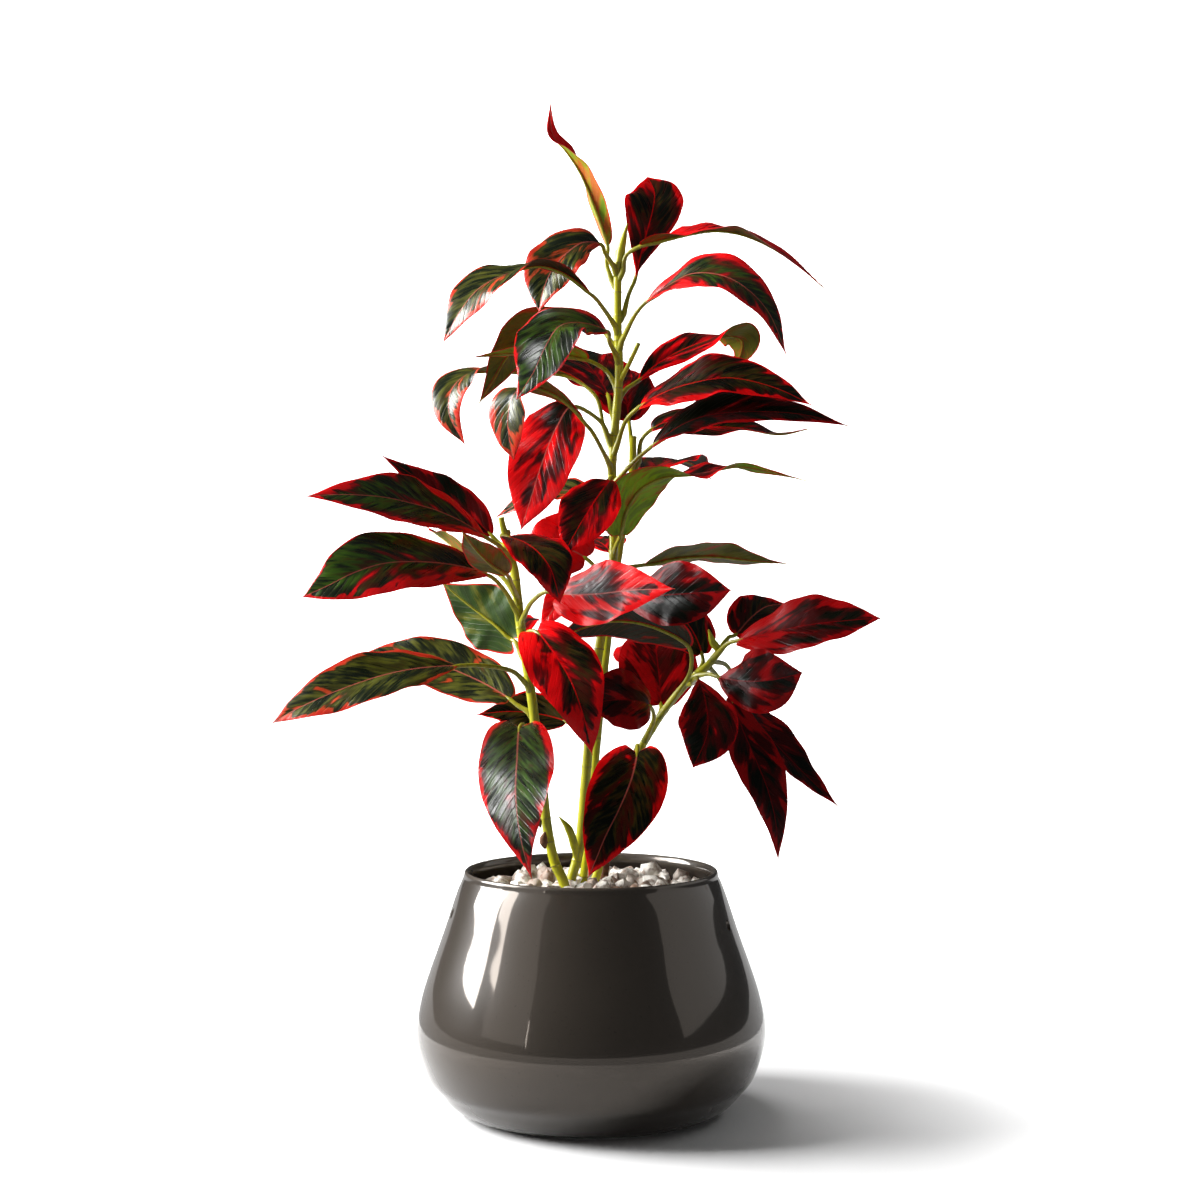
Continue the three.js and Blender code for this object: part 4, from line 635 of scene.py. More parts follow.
class StageSettings(bpy.types.PropertyGroup):
    floor: colour_setting("Floor", "Colour of the floor and the backdrop", "#f4f4f4")
    key_power: power_setting("Key light", "Power of the tall softbox on the left", 85)
    top_power: power_setting("Top light", "Power of the softbox overhead", 24)
    room: share_setting("Room light", "Brightness of the studio's grey walls", 0.13, 1)
    ground: share_setting("Ground light", "Brightness below the horizon, seen in the glaze", 0.7, 1)


SETTINGS = {
    "plant_pot": PotSettings,
    "plant_filling": FillingSettings,
    "plant_canes": CaneSettings,
    "plant_leaves": LeafSettings,
    "plant_stage": StageSettings,
}


class SmoothPath:
    """A centripetal curve through points, read at a share from 0 to 1 of its stretches."""

    def __init__(self, points):
        self.points = [Vector(p) for p in points]

    def point(self, share):
        points = self.points
        last = len(points) - 1
        place = min(max(share, 0.0), 1.0) * last
        i = min(int(place), last - 1)
        rest = place - i
        b, c = points[i], points[i + 1]
        a = points[i - 1] if i > 0 else 2 * b - c
        d = points[i + 2] if i + 2 <= last else 2 * c - b
        ab, bc, cd = [max((q - p).length, 1e-8) ** 0.5 for p, q in ((a, b), (b, c), (c, d))]
        start = ((b - a) / ab - (c - a) / (ab + bc) + (c - b) / bc) * bc
        end = ((c - b) / bc - (d - b) / (bc + cd) + (d - c) / cd) * bc
        bend = 3 * (c - b) - 2 * start - end
        return b + start * rest + bend * rest ** 2 + (2 * (b - c) + start + end) * rest ** 3

    def tangent(self, share, step=1e-3):
        return (self.point(min(share + step, 1)) - self.point(max(share - step, 0))).normalized()


def seen(waypoint):
    """A waypoint's place in the plant: pushed along its line of sight by its depth."""
    x, z, depth = waypoint
    reach = (EYE["distance"] + depth) / EYE["distance"]
    return Vector((EYE["x"] + (x - EYE["x"]) * reach, depth, EYE["height"] + (z - EYE["height"]) * reach))


def cane_path(name):
    points = [seen(p) for p in CANES[name][1]]
    foot = points[0].copy()
    foot.z = CANE_FOOT
    return SmoothPath([foot, *points])


def cane_at(name, height):
    """The place on a cane's axis at a height, its direction and its radius there."""
    path = cane_path(name)
    low, high = 0.0, 1.0
    for _ in range(HALVINGS):
        middle = (low + high) / 2
        if path.point(middle).z < height:
            low = middle
        else:
            high = middle
    foot, top = CANES[name][0]
    return path.point(low), path.tangent(low), foot + (top - foot) * low


def upper_side(faces, share):
    """The way that a blade's upper side looks at a share of its length."""
    ways = [Vector((x, depth, z)).normalized() for x, z, depth in faces]
    place = share * (len(ways) - 1)
    i = min(int(place), len(ways) - 2)
    return ways[i].lerp(ways[i + 1], place - i).normalized()


def line_mesh(name, points, ups, tangents, girths, sinks):
    """A line of points in metres that carries at each the way up, across and along, the girth, and how
    far a stem on it sinks below."""
    mesh = bpy.data.meshes.new(name)
    mesh.from_pydata([p * MM for p in points], [(i, i + 1) for i in range(len(points) - 1)], [])
    sides = [tangent.cross(up).normalized() for tangent, up in zip(tangents, ups)]
    for key, vectors in (("upper", ups), ("side", sides), ("onward", tangents)):
        attribute = mesh.attributes.new(key, "FLOAT_VECTOR", "POINT")
        attribute.data.foreach_set("vector", [v for vector in vectors for v in vector])
    along = [0.0]
    for near, far in zip(points, points[1:]):
        along.append(along[-1] + (far - near).length * MM)
    for key, values in (("along", along), ("girth", girths), ("sink", sinks)):
        attribute = mesh.attributes.new(key, "FLOAT", "POINT")
        attribute.data.foreach_set("value", values)
    return mesh


def square_to(up, tangent):
    return (up - tangent * up.dot(tangent)).normalized()


def stem_line(name, path, count, girth, up=Vector((0, -1, 0))):
    """The line of a round stem, with both end points doubled for its flat ends."""
    shares = [0, *[i / count for i in range(count + 1)], 1]
    tangents = [path.tangent(t) for t in shares]
    ups = [square_to(up, tangent) for tangent in tangents]
    return line_mesh(name, [path.point(t) for t in shares], ups, tangents, [girth(t) for t in shares],
                     [0.0] * len(shares))


def add(tree, kind, inputs=(), **settings):
    """Adds a node with its settings, and its inputs as values or as the nodes and sockets they come from."""
    node = tree.nodes.new(kind)
    for name, value in settings.items():
        setattr(node, name, value)
    for key, value in dict(inputs).items():
        if isinstance(value, bpy.types.Node):
            value = value.outputs[0]
        if isinstance(value, bpy.types.NodeSocket):
            tree.links.new(value, node.inputs[key])
        else:
            node.inputs[key].default_value = value
    return node


def add_rows(tree, known, rows, kind=MATH):
    """Adds a node for each row of name, operation and inputs, where a text is an earlier row's name."""
    for name, operation, *values in rows:
        inputs = {
            i: known[value] if isinstance(value, str) else value
            for i, value in enumerate(values)
            if value is not None
        }
        known[name] = add(tree, kind, inputs, operation=operation)


def new_tree(name, sockets):
    """A tree of geometry nodes with named inputs, and what its inputs give by name."""
    tree = bpy.data.node_groups.new(name, "GeometryNodeTree")
    tree.interface.new_socket("Geometry", in_out="OUTPUT", socket_type=GEOMETRY)
    for socket, kind in sockets:
        tree.interface.new_socket(socket, in_out="INPUT", socket_type=kind)
    entry = add(tree, "NodeGroupInput")
    return tree, {socket: entry.outputs[socket] for socket, _ in sockets}


def add_grid(tree, known, width, columns, rows):
    """A grid whose points know their x, their row and their share of the way from its first to its last."""
    grid = add(tree, "GeometryNodeMeshGrid", {
        "Size X": width, "Size Y": 1.0, "Vertices X": known[columns], "Vertices Y": known[rows]})
    place = add(tree, "ShaderNodeSeparateXYZ", {0: add(tree, "GeometryNodeInputPosition")})
    known.update(x=place.outputs["X"], y=place.outputs["Y"])
    add_rows(tree, known, [
        ("last", "SUBTRACT", rows, 1),
        ("t", "ADD", "y", 0.5),
        ("place", "MULTIPLY", "t", "last"),
        ("row", "ROUND", "place"),
    ])
    return grid


def sample_line(tree, known, index, keys):
    """Reads what the line carries at an index."""
    for key in keys:
        flat = key in ("along", "girth", "sink")
        kind = "FLOAT" if flat else "FLOAT_VECTOR"
        if key == "centre":
            carried = add(tree, "GeometryNodeInputPosition")
        else:
            carried = add(tree, "GeometryNodeInputNamedAttribute", {"Name": key}, data_type=kind)
        inputs = {"Geometry": known["Line"], "Value": carried, "Index": index}
        known[key] = add(tree, "GeometryNodeSampleIndex", inputs, data_type=kind, domain="POINT")


def stem_tree():
    """A round stem along a line, with a raised ring at every node. Canes and stalks share one."""
    if "round_stem" in bpy.data.node_groups:
        return bpy.data.node_groups["round_stem"]
    tree, known = new_tree("round_stem", [
        ("Line", GEOMETRY), ("Sides", WHOLE), ("Radius", FLOAT), ("Node Spacing", FLOAT),
        ("Node Height", FLOAT), ("Ring Width", FLOAT), ("Material", MATERIAL),
    ])
    known["points"] = add(tree, "GeometryNodeAttributeDomainSize", {"Geometry": known["Line"]})
    add_rows(tree, known, [("columns", "ADD", "Sides", 1)])
    grid = add_grid(tree, known, 1.0, "columns", "points")
    sample_line(tree, known, known["row"], ("centre", "upper", "side", "along", "girth", "sink"))
    add_rows(tree, known, [
        ("angle", "MULTIPLY", "x", 2 * math.pi),
        ("cosine", "COSINE", "angle"),
        ("sine", "SINE", "angle"),
        ("half gap", "MULTIPLY", "Node Spacing", 0.5),
        ("from node", "PINGPONG", "along", "half gap"),
        ("in widths", "DIVIDE", "from node", "Ring Width"),
        ("near", "SUBTRACT", 1.0, "in widths"),
        ("nearness", "MAXIMUM", "near", 0.0),
        ("ring", "MULTIPLY", "nearness", "nearness"),
        ("raised", "MULTIPLY", "ring", "Node Height"),
        ("radius", "MULTIPLY", "Radius", "girth"),
        ("swollen", "ADD", "radius", "raised"),
        ("past start", "GREATER_THAN", "row", 0.5),
        ("before", "SUBTRACT", "last", 0.5),
        ("before end", "LESS_THAN", "row", "before"),
        ("open", "MULTIPLY", "past start", "before end"),
        ("reach", "MULTIPLY", "swollen", "open"),
        ("east", "MULTIPLY", "cosine", "reach"),
        ("up", "MULTIPLY", "sine", "reach"),
        ("north", "SUBTRACT", "up", "sink"),
    ])
    add_rows(tree, known, [
        ("east step", "SCALE", "side", None, None, "east"),
        ("north step", "SCALE", "upper", None, None, "north"),
        ("step", "ADD", "east step", "north step"),
        ("there", "ADD", "centre", "step"),
    ], VECTOR)
    stem = add(tree, "GeometryNodeStoreNamedAttribute", {
        "Geometry": grid, "Name": "stem_ring", "Value": known["ring"],
    }, data_type="FLOAT", domain="POINT")
    for kind, inputs in (
        ("GeometryNodeSetPosition", {"Position": known["there"]}),
        ("GeometryNodeMergeByDistance", {"Distance": 0.01 * MM}),
        ("GeometryNodeSetShadeSmooth", {"Shade Smooth": True}),
        ("GeometryNodeRealizeInstances", {}),
        ("GeometryNodeSetMaterial", {"Material": known["Material"]}),
        ("NodeGroupOutput", {}),
    ):
        stem = add(tree, kind, {"Geometry": stem, **inputs})
    return tree


def leaf_tree(stem):
    """A leaf along a line: a blade with folded, waved and ruffled halves, its stalk and its midrib."""
    tree, known = new_tree("leaf", [
        ("Line", GEOMETRY), ("First Blade Row", WHOLE), ("Columns", WHOLE), ("Width", FLOAT),
        ("Fold", FLOAT), ("Wave", FLOAT), ("Ruffle", FLOAT), ("Quilting", FLOAT),
        ("Vein Spacing", FLOAT), ("Thickness", FLOAT), ("Stalk Radius", FLOAT), ("Flush", FLOAT),
        ("Flush Drift", FLOAT), ("Margin", FLOAT), ("Margin Lean", FLOAT), ("Seed", FLOAT),
        ("Broadest", FLOAT), ("Lobes", FLOAT), ("Upper Side", MATERIAL), ("Underside", MATERIAL),
        ("Stalk", MATERIAL),
    ])
    known["points"] = add(tree, "GeometryNodeAttributeDomainSize", {"Geometry": known["Line"]})
    add_rows(tree, known, [
        ("to the tip", "SUBTRACT", "points", "First Blade Row"),
        ("rows", "SUBTRACT", "to the tip", 1),
    ])
    grid = add_grid(tree, known, 2.0, "Columns", "rows")
    add_rows(tree, known, [("index", "ADD", "row", "First Blade Row")])
    sample_line(tree, known, known["index"], ("centre", "upper", "side", "onward", "along"))
    add_rows(tree, known, [
        # The columns stand closer towards the edge
        ("across", "ABSOLUTE", "x"),
        ("inward", "SUBTRACT", 1.0, "across"),
        ("crowded", "POWER", "inward", COLUMN_CROWDING),
        ("e", "SUBTRACT", 1.0, "crowded"),
        ("half side", "SIGN", "x"),
        ("u", "MULTIPLY", "e", "half side"),
        # Half width along the blade
        ("left of peak", "SUBTRACT", 1.0, "Broadest"),
        ("tapered", "MULTIPLY", "left of peak", TAPER),
        ("fall", "MAXIMUM", "tapered", POINTED),
        ("steep", "DIVIDE", "fall", "left of peak"),
        ("rise", "MULTIPLY", "steep", "Broadest"),
        ("t over peak", "DIVIDE", "t", "Broadest"),
        ("rising", "POWER", "t over peak", "rise"),
        ("left of t", "SUBTRACT", 1.0, "t"),
        ("to go", "DIVIDE", "left of t", "left of peak"),
        ("falling", "POWER", "to go", "fall"),
        ("spread", "MULTIPLY", "rising", "falling"),
        ("half", "MULTIPLY", "Width", 0.5),
        ("wide", "MULTIPLY", "half", "spread"),
        ("broad", "MAXIMUM", "wide", LEAST_HALF * MM),
        ("onset", "MULTIPLY", "spread", FOLD_ONSET),
        ("flat", "MINIMUM", "onset", 1.0),
        # Lift: the fold along the midrib, cupped towards the edge
        ("fold", "SINE", "Fold"),
        ("cupped", "MULTIPLY", "e", -CUP["depth"]),
        ("cup", "ADD", "cupped", 1.0),
        ("out", "MULTIPLY", "broad", "e"),
        ("folded", "MULTIPLY", "out", "fold"),
        ("folded cup", "MULTIPLY", "folded", "cup"),
        ("fold lift", "MULTIPLY", "folded cup", "flat"),
        # The wave of the edge, and its finer ruffles
        ("left side", "LESS_THAN", "x", 0.0),
        ("lag", "MULTIPLY", "left side", WAVE["lag"]),
        ("pace", "MULTIPLY", "t", WAVE["pace"]),
        ("phase", "ADD", "pace", "lag"),
        ("sway", "SINE", "phase"),
        ("wave height", "MULTIPLY", "Wave", "Width"),
        ("waved", "MULTIPLY", "sway", "wave height"),
        ("fast", "MULTIPLY", "t", RUFFLE_PACE),
        ("late", "MULTIPLY", "lag", RUFFLE_LAG),
        ("fast phase", "ADD", "fast", "Seed"),
        ("side phase", "ADD", "fast phase", "late"),
        ("quiver", "SINE", "side phase"),
        ("ruffle height", "MULTIPLY", "Ruffle", "Width"),
        ("ruffled", "MULTIPLY", "quiver", "ruffle height"),
        ("outer", "MULTIPLY", "ruffled", "e"),
        ("edge lift", "ADD", "waved", "outer"),
        ("inner edge", "MULTIPLY", "edge lift", "e"),
        ("wave lift", "MULTIPLY", "inner edge", "spread"),
        # Between two side veins the blade swells
        ("slant", "MULTIPLY", "out", VEIN_SLANT),
        ("vein place", "SUBTRACT", "along", "slant"),
        ("half vein", "MULTIPLY", "Vein Spacing", 0.5),
        ("from vein", "PINGPONG", "vein place", "half vein"),
        ("swell", "DIVIDE", "from vein", "half vein"),
        ("inside", "SUBTRACT", 1.0, "e"),
        ("pillow", "MULTIPLY", "swell", "inside"),
        ("pillowed", "MULTIPLY", "pillow", "e"),
        ("quilt", "MULTIPLY", "pillowed", "Quilting"),
        ("quilt lift", "MULTIPLY", "quilt", QUILT_PEAK),
        ("lift a", "ADD", "fold lift", "wave lift"),
        ("lift", "ADD", "lift a", "quilt lift"),
        # Reach to the side, and the heart-shaped base
        ("narrowed", "MULTIPLY", "Fold", -CUP["narrowing"]),
        ("narrowed edge", "MULTIPLY", "narrowed", "e"),
        ("kept", "ADD", "narrowed edge", 1.0),
        ("aside", "MULTIPLY", "u", "broad"),
        ("reach", "MULTIPLY", "aside", "kept"),
        ("of heart", "DIVIDE", "t", HEART["end"]),
        ("heart left", "SUBTRACT", 1.0, "of heart"),
        ("heart share", "MAXIMUM", "heart left", 0.0),
        ("heart", "MULTIPLY", "heart share", "heart share"),
        ("lobe", "POWER", "e", LOBE_ROUNDING),
        ("lobe depth", "MULTIPLY", "lobe", HEART["depth"]),
        ("lobe reach", "MULTIPLY", "Lobes", "half"),
        ("lobe half", "MULTIPLY", "lobe depth", "lobe reach"),
        ("lobe back", "MULTIPLY", "lobe half", "heart"),
        ("back", "MULTIPLY", "lobe back", "flat"),
        ("backward", "MULTIPLY", "back", -1.0),
        # Thickness, thinning to nothing at the edge and at both ends
        ("e squared", "MULTIPLY", "e", "e"),
        ("rim", "SUBTRACT", 1.0, "e squared"),
        ("rim root", "SQRT", "rim"),
        ("half thick", "MULTIPLY", "Thickness", 0.5),
        ("thick", "MULTIPLY", "rim root", "half thick"),
        ("past base", "GREATER_THAN", "row", 0.5),
        ("before tip", "LESS_THAN", "row", "last"),
        ("open", "MULTIPLY", "past base", "before tip"),
        ("skin", "MULTIPLY", "thick", "open"),
        ("to edge", "SUBTRACT", "broad", "out"),
        ("aside mm", "DIVIDE", "aside", MM),
        ("along mm", "DIVIDE", "along", MM),
        ("edge mm", "DIVIDE", "to edge", MM),
        # The flush drifts towards the tip, and the margin is wider on one half
        ("past middle", "SUBTRACT", "t", 0.5),
        ("drifted", "MULTIPLY", "past middle", "Flush Drift"),
        ("flush", "ADD", "Flush", "drifted"),
        ("leaning", "MULTIPLY", "half side", "Margin Lean"),
        ("margin share", "ADD", "leaning", 1.0),
        ("margin", "MULTIPLY", "Margin", "margin share"),
    ])
    add_rows(tree, known, [
        ("side step", "SCALE", "side", None, None, "reach"),
        ("back step", "SCALE", "onward", None, None, "backward"),
        ("spread step", "ADD", "side step", "back step"),
        ("on line", "ADD", "centre", "spread step"),
    ], VECTOR)
    leaf_place = add(tree, "ShaderNodeCombineXYZ", {
        "X": known["aside mm"], "Y": known["along mm"], "Z": known["edge mm"]})
    leaf_look = add(tree, "ShaderNodeCombineXYZ", {
        "X": known["flush"], "Y": known["margin"], "Z": known["Seed"]})
    marked = grid
    for key, kind, value in (
        ("leaf_place", "FLOAT_VECTOR", leaf_place),
        ("leaf_look", "FLOAT_VECTOR", leaf_look),
        ("leaf_share", "FLOAT", known["t"]),
    ):
        marked = add(tree, "GeometryNodeStoreNamedAttribute", {
            "Geometry": marked, "Name": key, "Value": value,
        }, data_type=kind, domain="POINT")
    halves = []
    for sign, finish in ((1.0, "Upper Side"), (-1.0, "Underside")):
        add_rows(tree, known, [
            ("skin lift", "MULTIPLY", "skin", sign),
            ("height", "ADD", "lift", "skin lift"),
        ])
        add_rows(tree, known, [
            ("up step", "SCALE", "upper", None, None, "height"),
            ("there", "ADD", "on line", "up step"),
        ], VECTOR)
        half = add(tree, "GeometryNodeSetPosition", {"Geometry": marked, "Position": known["there"]})
        half = add(tree, "GeometryNodeSetMaterial", {"Geometry": half, "Material": known[finish]})
        if sign < 0:
            half = add(tree, "GeometryNodeFlipFaces", {"Mesh": half})
        halves.append(half)
    blade = add(tree, "GeometryNodeJoinGeometry")
    for half in reversed(halves):
        tree.links.new(half.outputs[0], blade.inputs[0])
    blade = add(tree, "GeometryNodeMergeByDistance", {"Geometry": blade, "Distance": 0.01 * MM})
    blade = add(tree, "GeometryNodeSetShadeSmooth", {"Geometry": blade, "Shade Smooth": True})
    stalk = add(tree, "GeometryNodeGroup", node_tree=stem)
    for key, value in (
        ("Line", known["Line"]), ("Radius", known["Stalk Radius"]), ("Material", known["Stalk"]),
    ):
        tree.links.new(value, stalk.inputs[key])
    for key, value in {"Sides": STALK_SIDES, **RINGLESS}.items():
        stalk.inputs[key].default_value = value
    whole = add(tree, "GeometryNodeJoinGeometry", {"Geometry": blade})
    tree.links.new(stalk.outputs[0], whole.inputs[0])
    whole = add(tree, "GeometryNodeRealizeInstances", {"Geometry": whole})
    add(tree, "NodeGroupOutput", {"Geometry": whole})
    return tree


def pebble_tree():
    """A bed of lumpy pebbles strewn over a disc."""
    tree, known = new_tree("pebble_bed", [
        ("Bed Radius", FLOAT), ("Bed Height", FLOAT), ("Rise", FLOAT), ("Pebble", FLOAT),
        ("Spacing", FLOAT), ("Roughness", FLOAT), ("Seed", WHOLE), ("Material", MATERIAL),
    ])
    disc = add(tree, "GeometryNodeMeshCircle", {"Vertices": BED_SIDES, "Radius": known["Bed Radius"]},
               fill_type="NGON")
    strewn = add(tree, "GeometryNodeDistributePointsOnFaces", {
        "Mesh": disc, "Distance Min": known["Spacing"], "Density Max": MOST_PEBBLES,
        "Seed": known["Seed"],
    }, distribute_method="POISSON")
    for key, low, high, seed in (("turn", 0.0, 2 * math.pi, 3), ("size", *PEBBLE_SIZES, 4)):
        known[key] = add(tree, "FunctionNodeRandomValue", {
            0: (low,) * 3, 1: (high,) * 3, "Seed": seed}, data_type="FLOAT_VECTOR")
    for key, seed in (("draw", 11), ("tint", 23)):
        drawn = add(tree, "FunctionNodeRandomValue", {2: 0.0, 3: 1.0, "Seed": seed}, data_type="FLOAT")
        known[key] = drawn.outputs[1]
    add_rows(tree, known, [
        ("rise", "MULTIPLY", "draw", "Rise"),
        ("level", "ADD", "rise", "Bed Height"),
    ])
    add_rows(tree, known, [
        ("scale", "SCALE", "size", None, None, "Pebble"),
        ("squashed", "MULTIPLY", "scale", PEBBLE_SQUASH),
    ], VECTOR)
    lift = add(tree, "ShaderNodeCombineXYZ", {"Z": known["level"]})
    points = add(tree, "GeometryNodeSetPosition", {"Geometry": strewn, "Offset": lift})
    chunk = add(tree, "GeometryNodeMeshIcoSphere", {"Radius": 1.0, "Subdivisions": 1})
    chunk = add(tree, "GeometryNodeSubdivideMesh", {"Mesh": chunk, "Level": 1})
    stones = add(tree, "GeometryNodeInstanceOnPoints", {
        "Points": points, "Instance": chunk, "Rotation": known["turn"], "Scale": known["squashed"]})
    stones = add(tree, "GeometryNodeStoreNamedAttribute", {
        "Geometry": stones, "Name": "stone_tint", "Value": known["tint"],
    }, data_type="FLOAT", domain="INSTANCE")
    stones = add(tree, "GeometryNodeRealizeInstances", {"Geometry": stones})
    for scale, share in LUMP_SCALES:
        known["lumps"] = add(tree, "ShaderNodeTexNoise", {"Scale": scale, "Detail": 2.0}).outputs[0]
        known["normal"] = add(tree, "GeometryNodeInputNormal")
        add_rows(tree, known, [
            ("around", "SUBTRACT", "lumps", 0.5),
            ("height", "MULTIPLY", "around", "Roughness"),
            ("shared", "MULTIPLY", "height", share),
        ])
        add_rows(tree, known, [("bump", "SCALE", "normal", None, None, "shared")], VECTOR)
        stones = add(tree, "GeometryNodeSetPosition", {"Geometry": stones, "Offset": known["bump"]})
    stones = add(tree, "GeometryNodeSetShadeSmooth", {"Geometry": stones, "Shade Smooth": False})
    stones = add(tree, "GeometryNodeSetMaterial", {"Geometry": stones, "Material": known["Material"]})
    add(tree, "NodeGroupOutput", {"Geometry": stones})
    return tree


def placed(name, data):
    """A new object that stands in the scene."""
    made = bpy.data.objects.new(name, data)
    bpy.context.scene.collection.objects.link(made)
    return made


def grown(name, line, tree, values, edge_angle=50):
    """The plain mesh object that a tree grows from a line."""
    source = placed(name + "_line", line)
    modifier = source.modifiers.new("grow", "NODES")
    modifier.node_group = tree
    for item in tree.interface.items_tree:
        if item.in_out == "INPUT" and item.name in values:
            modifier[item.identifier] = values[item.name]
    graph = bpy.context.evaluated_depsgraph_get()
    mesh = bpy.data.meshes.new_from_object(
        source.evaluated_get(graph), preserve_all_data_layers=True, depsgraph=graph)
    source.modifiers.remove(modifier)
    bpy.data.objects.remove(source)
    bpy.data.meshes.remove(line)
    mesh.name = name
    mesh.set_sharp_from_angle(angle=math.radians(edge_angle))
    return placed(name, mesh)


def new_material(name):
    """An empty material and its tree."""
    material = bpy.data.materials.new(name)
    material.use_nodes = True
    tree = material.node_tree
    tree.nodes.clear()
    return material, tree


def layered(tree, colour, layers):
    """A colour with paints laid over it, each the more the further its source is from low to high."""
    for source, low, high, most, ease, paint in layers:
        mask = add(tree, "ShaderNodeMapRange", {
            "Value": source, "From Min": low, "From Max": high, "To Max": most,
        }, interpolation_type=ease)
        mixed = add(tree, "ShaderNodeMix", {0: mask, 6: colour, 7: paint}, data_type="RGBA")
        colour = mixed.outputs[2]
    return colour


def surfaced(material, inputs):
    """Ends a material in a shader with these inputs."""
    shader = add(material.node_tree, "ShaderNodeBsdfPrincipled", inputs)
    add(material.node_tree, "ShaderNodeOutputMaterial", {"Surface": shader})
    return material


def glazed_ceramic(pot):
    """Stoneware under a dark warm grey gloss glaze: faint clouds of tone, an orange-peel skin and sharp
    reflections, with the body showing browner where the glaze runs thin on the lip. Painted shade darkens the
    glaze towards the foot."""
    material, tree = new_material("glazed_stoneware")
    place = add(tree, "ShaderNodeTexCoord").outputs["Object"]
    clouds = add(tree, "ShaderNodeTexNoise", {"Vector": place, "Scale": 14.0, "Detail": 3.0})
    specks = add(tree, "ShaderNodeTexNoise", {"Vector": place, "Scale": 420.0, "Detail": 2.0})
    peel = add(tree, "ShaderNodeTexNoise", {"Vector": place, "Scale": 60.0, "Detail": 1.0})
    height = add(tree, "ShaderNodeSeparateXYZ", {0: place}).outputs["Z"]
    tone = add(tree, "ShaderNodeMix", {
        0: clouds, 6: opaque(pot.glaze, 0.86), 7: opaque(pot.glaze, 1.16)}, data_type="RGBA")
    colour = layered(tree, tone.outputs[2], (
        (specks, 0.66, 0.74, 0.25, EVEN, opaque(linear("#1a1816"))),
        # Painted shade: the glaze is darkened from about 60 mm down to the foot
        (height, 60 * MM, 4 * MM, 0.75, EASED, opaque(pot.glaze, 0.3)),
        (height, 170.5 * MM, 173 * MM, 1.0, EASED, opaque(pot.lip_colour)),
    ))
    rough = add(tree, "ShaderNodeMapRange", {"Value": clouds, "To Min": 0.035, "To Max": 0.08})
    bump = add(tree, "ShaderNodeBump", {"Height": peel, "Strength": 0.12, "Distance": 0.4 * MM})
    return surfaced(material, {
        "Base Color": colour, "Roughness": rough, "Normal": bump, "IOR": 1.52,
        "Specular Tint": opaque(linear("#fff0e2")), "Coat Weight": 0.3, "Coat Roughness": 0.3,
    })


def blade_marks(tree, spacing, vein_half):
    """What a blade carries, by name: millimetres from the midrib (w), along it (s) and to the edge (m), the
    leaf's look, and its side veins (vein), with the distance along the midrib where each starts (v)."""
    known = {}
    for attribute, keys in (("leaf_place", ("w", "s", "m")), ("leaf_look", ("flush", "margin", "seed"))):
        carried = add(tree, "ShaderNodeAttribute", attribute_name=attribute).outputs["Vector"]
        known.update(zip(keys, add(tree, "ShaderNodeSeparateXYZ", {0: carried}).outputs))
    add_rows(tree, known, [
        ("aside", "ABSOLUTE", "w"),
        ("slant", "MULTIPLY", "aside", VEIN_SLANT),
        ("v", "SUBTRACT", "s", "slant"),
        ("from vein", "PINGPONG", "v", spacing / MM / 2),
        ("vein off", "DIVIDE", "from vein", vein_half),
        ("vein left", "SUBTRACT", 1.0, "vein off"),
        ("vein", "MAXIMUM", "vein left", 0.0),
    ])
    return known


def blotches(tree, known, across, along, lot, inputs):
    """Noise in blotches of about this size in millimetres, drawn out along the side veins."""
    add_rows(tree, known, [
        ("outward", "MULTIPLY", "aside", 1 / across),
        ("onward", "MULTIPLY", "v", 1 / along),
    ])
    spot = add(tree, "ShaderNodeCombineXYZ", {
        "X": known["outward"], "Y": known["onward"], "Z": known[lot]})
    return add(tree, "ShaderNodeTexNoise", {"Vector": spot, "Scale": 1.0, **inputs}).outputs[0]


